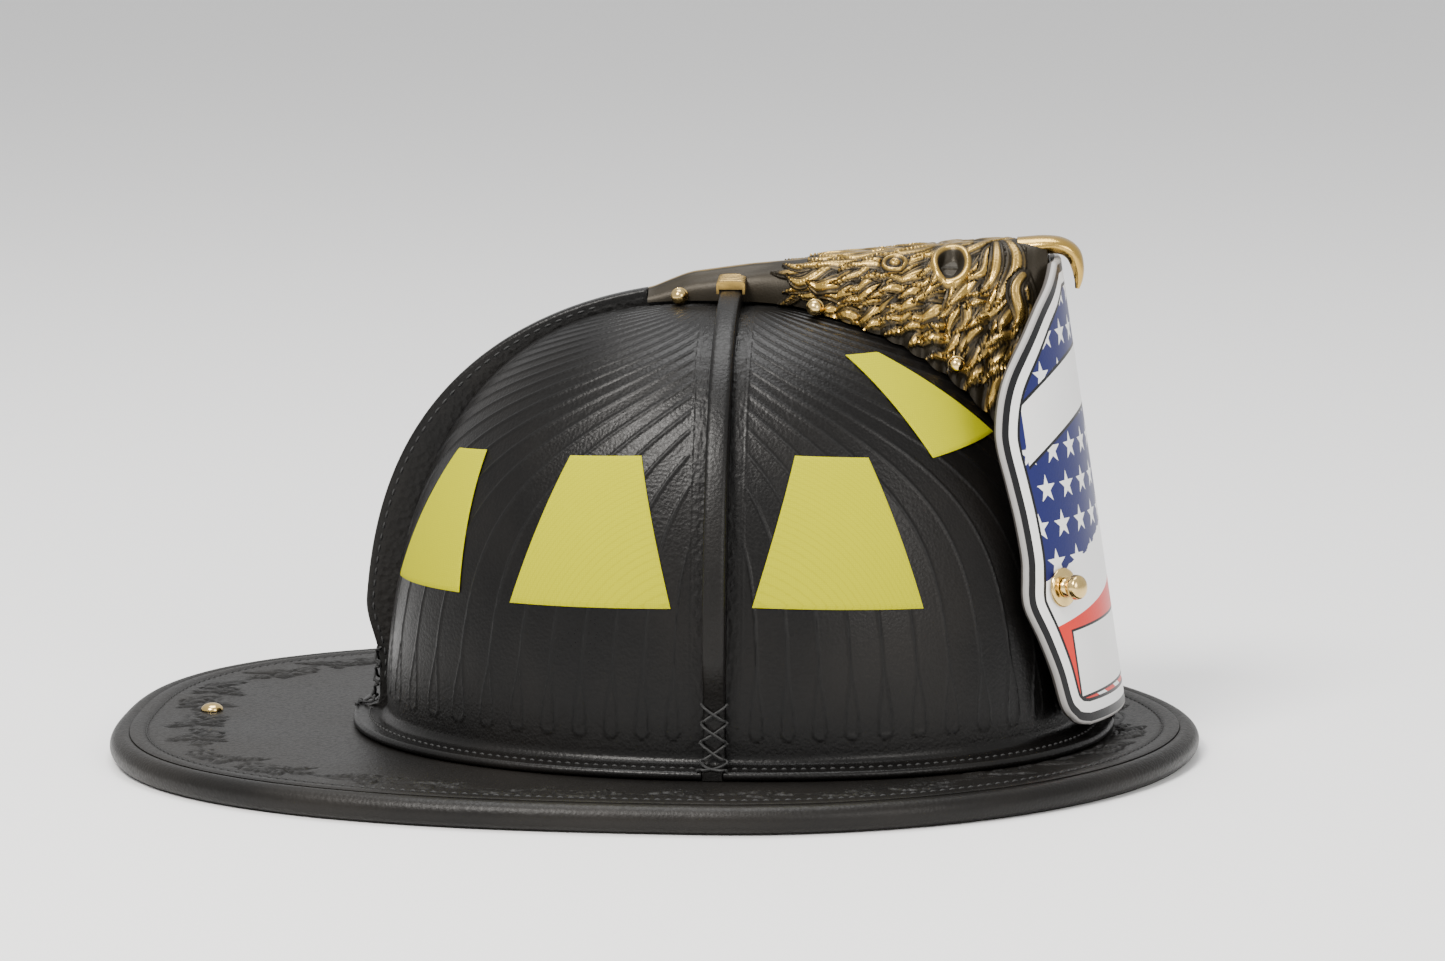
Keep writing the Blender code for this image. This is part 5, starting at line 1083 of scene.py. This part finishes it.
def makeScrews():
    # on each side of the shield a flat washer and a screw whose knob stands on a waisted neck
    s, k = shieldShape, screw
    for sign, side in bothSides:
        turn = sign * s["screwArc"] / s["bend"]
        forward = float(shieldFace(s["screwUp"], s["screwArc"]))
        place = (s["bend"] * math.sin(turn), crown["y"] - forward, s["screwUp"])
        normal = (math.sin(turn), -math.cos(turn), s["lean"] * math.cos(turn))
        top, foot, bore, wide = k["washerTop"], k["washerFoot"], k["bore"], k["washer"]
        washer = [(bore, top - 0.0001), (0.0026, top), (0.0060, top), (0.0066, top - 0.0003),
                  (wide, top - 0.0007), (wide, foot), (bore, foot), (bore, top - 0.0001)]
        turned(f"shield_washer_{side}_brass", washer, place, normal, brass, "brass", 48,
               stands=f"shield_washer_{side}")
        seat = top + 0.0003
        span = max(abs(a - b) for a, b in zip(*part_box(f"shield_screw_{side}")))
        end = k["inside"] - span
        body = dome(0.0042, 0.0024, seat + 0.0052) + [
            (k["knob"], seat + 0.0046), (k["knob"], seat + 0.0038), (0.0040, seat + 0.0031),
            (0.0029, seat + 0.0024), (k["waist"], seat + 0.0014), (k["collar"], seat + 0.0006),
            (k["collar"], seat), (k["shank"], seat), (k["shank"], end), (0.0, end)]
        turned(f"shield_screw_{side}_brass", body, place, normal, brass, "brass", 40,
               stands=f"shield_screw_{side}")


def makeRivet():
    # a domed head on the brim and a clinched end under it
    low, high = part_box("hanger_rivet")
    seat, under = brim["top"] + 0.0003, 0.0041
    rivet = dome(0.0040, 0.0024, seat, 14) + [(0.0018, seat), (0.0018, under), (0.0030, under), (0.0024, low.z),
                                              (0.0, low.z)]
    turned("hanger_rivet_brass", rivet, (0, (low.y + high.y) / 2, 0), upward, brass, "brass", 40,
           stands="hanger_rivet")


def makeRing():
    # a D of wire: a straight bar, two sides and a half ellipse
    low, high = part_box("hanger_ring")
    wire = 0.0011
    half, barY, barZ = high.x - wire, high.y - wire, (low.z + high.z) / 2
    reach = barY - low.y - wire
    turn = np.linspace(0, math.pi, 25)
    curve = points(half * np.cos(turn), -reach * 0.45 - reach * 0.55 * np.sin(turn))
    corner = 0.0022
    bend = np.linspace(0, rad(90), 6)
    right = points(half - corner + corner * np.cos(bend), -corner + corner * np.sin(bend))
    flat = np.vstack([curve, right * (-1, 1), right[::-1]])
    tube("hanger_ring_wire", points(flat[:, 0], barY + flat[:, 1], barZ), wire, steel, "steel", 16, closed=True,
         body="hanger_ring", stands="hanger_ring")


makeBolts()
makeScrews()
makeRivet()
makeRing()
print("hardware turned")


# front shield, painted

# share up the shield, share of its half width
shieldOutline = ((0.000, 0.600), (0.008, 0.680), (0.020, 0.722), (0.051, 0.776), (0.128, 0.811),
                 (0.204, 0.866), (0.266, 0.922), (0.302, 0.930), (0.345, 0.912), (0.388, 0.899),
                 (0.469, 0.907), (0.542, 0.927), (0.624, 0.951), (0.673, 0.942), (0.737, 0.894),
                 (0.793, 0.814), (0.858, 0.666), (0.917, 0.509), (0.960, 0.345), (1.000, 0.200))


def shieldFinish():
    # painted face: rim line, white border, inner line, blue field with stars, two blank ribbons, red stripes
    f = Finish("shieldPaint", (0.75, 0.75, 0.74), 0.32, Specular_IOR_Level=0.25)
    inset, front = f.attribute("inset"), f.attribute("front")
    x, z, _ = f.split(f.coord("UV"))
    white, black = (0.80, 0.80, 0.79), (0.005, 0.005, 0.006)
    navy, red = (0.008, 0.011, 0.090), (0.62, 0.022, 0.012)

    def star(u, v, pitch, size):
        # staggered tiles; a five-pointed star is where r*cos and r*sin of the folded angle lie under one edge
        row = (v / pitch).sum("FLOOR")
        su = (u / pitch + row * 0.5).sum("FRACT") - 0.5
        sv = (v / pitch).sum("FRACT") - 0.5
        r = (su * su + sv * sv) ** 0.5
        a = su.sum("ARCTAN2", sv)
        fold = abs((a / (tau / 5) + 0.5).sum("FRACT") - 0.5) * (tau / 5)
        waist = size * 0.40
        nx, ny = waist * math.sin(tau / 10), size - waist * math.cos(tau / 10)
        long = math.hypot(nx, ny)
        reach = (fold.sum("COSINE") * (nx / long) + fold.sum("SINE") * (ny / long)) * r
        return reach < nx * size / long

    stars = star(x + 0.004, z, 0.0128, 0.40)
    field = f.mix(stars, navy, white)
    arch = z - 0.1175 + x * x * 4.9            # height over the arched ribbon's middle line
    inRibbon = abs(x) < 0.056
    torn = (f.noise(220, 3) - 0.5) * 0.004
    slant = z + abs(x) * 0.27 + torn
    art = f.mix(slant < 0.0672, field, white)
    art = f.mix((z + abs(x) * 0.19) < 0.0460, art, red)
    waves = ((z + x * 0.5) / 0.0080).sum("FRACT") < 0.42
    art = f.mix((z < 0.0110) * waves, art, white)
    art = f.mix((abs(arch) < 0.0108) * inRibbon, art, white)
    art = f.mix((abs(abs(arch) - 0.0108) < 0.0006) * inRibbon, art, black)
    low = abs(z - 0.0230 + x * x * 0.6)
    ends = abs(x) < 0.0465
    art = f.mix((low < 0.0122) * ends, art, black)
    art = f.mix((low < 0.0113) * (abs(x) < 0.0455), art, white)
    for width, paint in ((0.0092, black), (0.0080, white), (0.0042, black), (0.0012, (0.30, 0.29, 0.28))):
        art = f.mix(inset < width, art, paint)
    colour = f.mix(front.step(0.45, 0.55), (0.055, 0.050, 0.046), art)
    grain, patch = f.cells(1100), f.noise(60, 3)
    return f.feed(Base_Color=colour, Roughness=0.28 + patch * 0.12 + (1 - front) * 0.25,
                  Normal=f.bump(grain + patch * 0.5, 0.10, 0.0002))


def makeShield():
    # rows across the outline, on the bend; the front face, a rounded rim and the back make one ring
    s = shieldShape
    share, wide = smoothPath(shieldOutline, 14).T
    z = s["bottom"] + (s["top"] - s["bottom"]) * np.clip(share, 0, 1)
    half = s["half"] * np.minimum(wide, 1.0)
    even, quarterTurn = np.linspace(-1, 1, 150), rad(89.91)
    t = 0.5 * np.sin(even * quarterTurn) / math.sin(quarterTurn) + 0.5 * even   # closer together at the rim
    arc = half[:, None] * t[None, :]
    rowZ = z[:, None] + 0 * arc

    def onFace(arc, z, proud):
        turn = arc / s["bend"]
        p = points(s["bend"] * np.sin(turn), crown["y"] - shieldFace(z, arc), z)
        n = unit(points(np.sin(turn), -np.cos(turn), s["lean"] * np.cos(turn)))
        return p + n * np.asarray(proud)[..., None]
    outline = np.concatenate([points(half, z), points(-half[::-1], z[::-1])])
    a, b = outline, np.roll(outline, -1, 0)
    spot = points(arc, rowZ).reshape(-1, 1, 2)
    seg = (b - a)[None]
    k = np.clip(((spot - a[None]) * seg).sum(-1) / np.maximum((seg * seg).sum(-1), 1e-12), 0, 1)
    inset = np.linalg.norm(spot - (a[None] + seg * k[..., None]), axis=-1).min(1).reshape(arc.shape)
    round = 0.0010
    rim = -round * (1 - np.sqrt(np.clip(1 - (1 - np.minimum(inset / round, 1)) ** 2, 0, 1)))
    front = onFace(arc, rowZ, rim)
    back = onFace(arc, rowZ, -s["thickness"] - rim)
    p = np.concatenate([front, back[:, ::-1]], 1)
    zero = np.zeros(arc.shape)
    uvFront = points(arc, rowZ - s["bottom"])
    uv = np.concatenate([uvFront, uvFront[:, ::-1], uvFront[:, :1]], 1)
    gridMesh("front_shield_leather", p, shieldFinish(), "shield_leather", wrapU=True, caps=True, uv=uv,
             values={"inset": np.concatenate([inset, zero], 1), "front": np.concatenate([zero + 1, zero], 1)},
             stands="front_shield")


makeShield()
print("shield painted")


# inner shell, foam, straps

inner = {"capInset": 0.0041, "cap": 0.0022, "capBottom": 0.027, "foamInset": 0.0074, "foam": 0.009,
         "foamBottom": 0.072, "strapInset": 0.0214, "strapTop": 0.014,
         "strapStep": 0.0020, "strapFoot": 0.0536}
webbingWidth = 0.019
head = {"long": 0.095, "wide": 0.076, "y": -0.030, "middle": 0.024}


def shell(name, inset, thickness, bottom, finish, slot, relief, **more):
    # a closed-top wall: rows climb the outside to the pole and come back down the inside
    turn = np.arange(160) / 160 * tau
    climbs = np.linspace(climbAt(bottom, inset), rad(88.5), 56)[:, None]
    outer = crownPoint(turn[None, :], climbs, inset)
    deeper = inset + thickness
    inside = crownPoint(turn[None, :], np.maximum(climbs, climbAt(bottom, deeper)), deeper)
    inward = unit(np.array((0, crown["y"], 0.03)) - inside)
    inside = inside + inward * relief(turn[None, :], climbs)[..., None]
    pole = np.zeros((1, 160, 3)) + (0, crown["y"], crown["base"] + crown["rise"] - inset)
    inPole = pole - (0, 0, thickness)
    p = np.concatenate([outer, pole, inPole, inside[::-1]])
    return gridMesh(name, p, finish, slot, wrapU=True, wrapV=True, merge=True, **more)


def makeShells():
    def ribs(turn, climb):
        return 0.0004 * dent(np.abs(np.sin(turn * 4)), 0.08) * ease(climb, 0.3, 0.5)
    shell("impact_cap_shell", inner["capInset"], inner["cap"], inner["capBottom"], capPlastic, "cap_plastic",
          ribs, stands="impact_cap")

    def blocks(turn, climb):
        ring = dent(((climb / rad(90) * 5 + 0.5) % 1) - 0.5, 0.06)
        ray = dent(np.abs(np.sin(turn * 5)), 0.05) * (1 - ease(climb, 1.1, 1.3))
        return -0.0024 * np.maximum(ring, ray) * ease(rad(84) - climb, 0, 0.1)
    liner = shell("foam_liner_blocks", inner["foamInset"], inner["foam"], inner["foamBottom"], foam, "foam",
                  blocks, stands="foam_liner")


def strapPath(turn, level):
    # the crown's own formula at a bigger inset, with its top lowered
    rise = crown["rise"] - inner["strapInset"] - inner["strapTop"] - level * inner["strapStep"]
    start = math.asin(((inner["strapFoot"] - crown["base"]) / rise) ** (crown["top"] / 2))
    climbs = np.linspace(start, rad(90), 60)
    across, up = climbShares(climbs)
    near, far = (planPoint(angle, crownRadius(angle, inner["strapInset"]) * across, crown["base"] + rise * up)
                 for angle in (turn, turn + math.pi))
    return np.vstack([near, far[::-1][1:]])


def makeStraps():
    # two straps cross under the crown, the second a little lower
    for level, (name, turn) in enumerate((("crown_strap_left_front", rad(52)),
                                          ("crown_strap_right_front", -rad(52)))):
        path = evenPath(strapPath(turn, level), 0.002)
        across = allAlong(path, (math.cos(turn), math.sin(turn), 0))
        outward = unit(np.cross(np.gradient(path, axis=0), across))
        band(name + "_webbing", path, across, outward, webbingWidth, 0.0014, webbing, "webbing", stands=name)


def headLine(turn, inset):
    # an ellipse round the head, and the outward direction
    def place(a):
        r = ((np.cos(a) / (head["long"] + inset)) ** 2 + (np.sin(a) / (head["wide"] + inset)) ** 2) ** -0.5
        return points(r * np.sin(a), head["y"] - r * np.cos(a), 0)
    ahead = place(turn + 0.001) - place(turn - 0.001)
    return place(turn), unit(np.stack([ahead[:, 1], -ahead[:, 0], 0 * turn], -1))


def makeHeadband():
    # a moulded band with two rims and short ribs, and a puffed pad inside its front
    def ribs(t, w):
        rims = 0.0004 * dent(np.abs(w) - 0.82, 0.10)
        return np.minimum(rims + 0.0003 * dent(np.abs(np.sin(t * 75)), 0.22) * (np.abs(w) < 0.5), 0.0003)

    def puff(t, w):
        return -0.0006 * (1 - np.abs(np.sin(t * math.pi * 9)) ** 0.35) - 0.0007 * ease(np.abs(w), 0.7, 1.0)
    line, outward = headLine(np.linspace(-rad(150), rad(150), 300), 0.0)
    path = line + outward * 0.0008 + (0, 0, head["middle"])
    band("headband_nylon", path, allAlong(line, upward), outward, 0.032, 0.0016, nylon, "nylon",
         stands="headband", swell=ribs)
    line, outward = headLine(np.linspace(-rad(72), rad(72), 220), -0.0036)
    path = line + outward * 0.0016 + (0, 0, head["middle"])
    pad = band("brow_pad_leather", path, allAlong(line, upward), -outward, 0.0318, 0.0030, browLeather,
               "brow_leather", rounded=0.6, stands="brow_pad", swell=puff)
    for sign, name in ((1, "top"), (-1, "bottom")):
        edge = line - outward * 0.0001 + (0, 0, head["middle"] + sign * 0.0130)
        stitchRow(f"brow_pad_stitching_{name}", edge, -outward, 0.0040, 0.0030)


def makeKnob():
    # a turned cap whose grip is a ring of rounded flutes
    low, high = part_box("ratchet_knob")
    place = (0, 0, (low.z + high.z) / 2)
    a, b, r = low.y, high.y, (high.x - low.x) / 2
    profile = [(0.0, b), (r * 0.50, b), (r * 0.60, b - 0.0003), (r * 0.66, b - 0.0011),
               (r * 0.74, b - 0.0011), (r * 0.80, b - 0.0001), (r - 0.0018, b), (r - 0.0009, b - 0.0005),
               (r - 0.0005, b - 0.0012)]
    profile += [(r - 0.0005, b - 0.0012 - (b - a - 0.0030) * t) for t in (0.1, 0.3, 0.5, 0.7, 0.9, 1.0)]
    profile += [(r, a + 0.0010), (r, a), (0.0, a)]

    def flutes(turn, reach, radius):
        grip = ease(reach, a + 0.0014, a + 0.0022) * ease(radius, r * 0.88, r * 0.93)
        return 1 - 0.075 * grip * (0.5 - 0.5 * np.cos(turn * 22)) ** 2
    turned("ratchet_knob_fluted", profile, place, (0, 1, 0), nylon, "nylon", 264, wobble=flutes, body="knob",
           stands="ratchet_knob")


flap = {"first": 95, "last": 265, "low": 0.004, "rise": 0.052, "inset": 0.0085, "quilt": 0.028, "flat": 0.053}


def makeFlap():
    # cloth folded up inside: it follows the crown's inside, pinched along sewn lines
    turn = np.radians(np.linspace(flap["first"], flap["last"], 260))[None, :]
    rise = np.linspace(0, 1, 40)[:, None]
    z = flap["low"] + flap["rise"] * rise
    p = crownPoint(turn, climbAt(z, flap["inset"]), flap["inset"])
    p[..., 2] = z + 0 * turn
    ahead = unit(np.gradient(p, axis=1))
    inward = points(-ahead[..., 1], ahead[..., 0], 0)
    inward = inward * np.sign((inward * (np.array((0, crown["y"], 0)) - p)).sum(-1, keepdims=True))
    s = lengths(p[0])
    slants = [dent(((s[None, :] + way * z) % flap["quilt"]) - flap["quilt"] / 2, 0.0016) for way in (1, -1)]
    seam = np.maximum(*slants)
    hem = dent(z - 0.0095, 0.0009) + dent(z - 0.0505, 0.0009)
    thick = 0.0016 - 0.0009 * np.clip(seam * ease(z, 0.010, 0.013) * ease(0.050 - z, 0, 0.003) + hem, 0, 1)
    edge = np.minimum(ease(rise, 0, 0.03), ease(1 - rise, 0, 0.03))
    thick = thick * (0.35 + 0.65 * edge)
    face = p + inward * (0.0001 + thick)[..., None]
    back = p + inward * 0.0001
    ring = np.concatenate([face, back[::-1]])
    uvFace = points(s[None, :], z)
    uv = np.transpose(np.concatenate([uvFace, uvFace[::-1], uvFace[:1]]), (1, 0, 2))
    piece = gridMesh("ear_neck_flap_cloth", np.transpose(ring, (1, 0, 2)), flapCloth, "flap_cloth", wrapU=True,
                     caps=True, uv=uv, stands="ear_neck_flap")


strapRoute = ((0.0853, -0.0300), (0.0848, -0.0500), (0.0815, -0.0720), (0.0765, -0.0880), (0.0710, -0.1020),
              (0.0620, -0.1165), (0.0540, -0.1255), (0.0460, -0.1310))


def makeChinStrap():
    # each side bends forward along the inside of the brim, then runs straight to its half of the buckle
    height, front = 0.0130, strapRoute[-1][1]
    for sign, side in bothSides:
        stop = 0.0343 if sign > 0 else 0.0143
        bend = smoothPath([(sign * x, y, height) for x, y in strapRoute], 8)
        straight = [(sign * x, front, height) for x in (0.0445, stop)]
        path = evenPath(np.vstack([bend, straight]), 0.0015)
        ahead = unit(np.gradient(path, axis=0))
        outward = points(-ahead[:, 1], ahead[:, 0], 0) * sign
        band(f"chin_strap_{side}_webbing", path, allAlong(path, upward), outward, webbingWidth, 0.0016, webbing,
             "webbing", stands=f"chin_strap_{side}")


makeShells()
makeStraps()
makeHeadband()
makeKnob()
makeFlap()
makeChinStrap()

finishes = {"nylon": nylon, "steel": steel, "brass": brass, "cap_plastic": capPlastic, "foam": foam,
            "webbing": webbing, "crown_leather": crownLeather, "antique_brass": antique}
slots = {entry["node"]: entry["material_slot"] for entry in frame["record"]["subparts"]}
for name, item in nodes.items():
    if not item.hide_render:
        item.data.materials.clear()
        item.data.materials.append(finishes[slots[name]])
print("inside made")


# floor, light and camera

def makeStage():
    # a pale floor, a white sky and three soft lamps aimed at the helmet
    bpy.ops.mesh.primitive_plane_add(size=30, location=(0, 0, -0.0002))
    floor = bpy.context.active_object
    floor.name = "floor"
    f = Finish("paleFloor", (0.86, 0.86, 0.86), 0.8)
    floor.data.materials.append(f.feed(Roughness=0.75 + f.noise(3, 2) * 0.1))
    world = bpy.data.worlds.new("studio")
    bpy.context.scene.world = world
    world.use_nodes = True
    tree = world.node_tree
    back = tree.nodes["Background"]
    back.inputs["Color"].default_value = (1.0, 1.0, 1.0, 1)
    back.inputs["Strength"].default_value = 0.9
    for name, place, size, power, colour in (
            ("keyLight", (-1.2, 0.55, 1.5), 0.6, 55, (1.0, 0.97, 0.93)),
            ("fillLight", (-1.4, -1.1, 0.8), 0.7, 14, (1.0, 0.97, 0.93)),
            ("topLight", (0.3, 0.1, 1.9), 1.0, 30, (1.0, 1.0, 1.0))):
        lamp = bpy.data.lights.new(name, "AREA")
        lamp.size, lamp.energy, lamp.color = size, power, colour
        item = bpy.data.objects.new(name, lamp)
        bpy.context.scene.collection.objects.link(item)
        item.location = place
        item.rotation_euler = (Vector((0, -0.03, 0.06)) - Vector(place)).to_track_quat("-Z", "Y").to_euler()


def makeCamera():
    # a long lens near the wearer's right, level with the brim's near side and a little above
    turn, lift, away, raised, aside = rad(4), rad(12), 1.8, rad(2.840), rad(0.130)
    target = Vector((0, crown["y"], brim["bead"]))
    back = Vector((-math.cos(turn) * math.cos(lift), -math.sin(turn) * math.cos(lift), math.sin(lift)))
    data = bpy.data.cameras.new("camera")
    data.sensor_width, data.lens = 36.0, 125.8
    camera = bpy.data.objects.new("camera", data)
    bpy.context.scene.collection.objects.link(camera)
    camera.location = target + back * away
    ahead = (-back).normalized()
    right = ahead.cross(Vector((0, 0, 1))).normalized()
    above = right.cross(ahead)
    aim = ahead + above * math.tan(raised) - right * math.tan(aside)
    camera.rotation_euler = aim.to_track_quat("-Z", "Y").to_euler()
    data.clip_start, data.clip_end = 0.05, 60
    bpy.context.scene.camera = camera


makeStage()
makeCamera()
print("stage set")
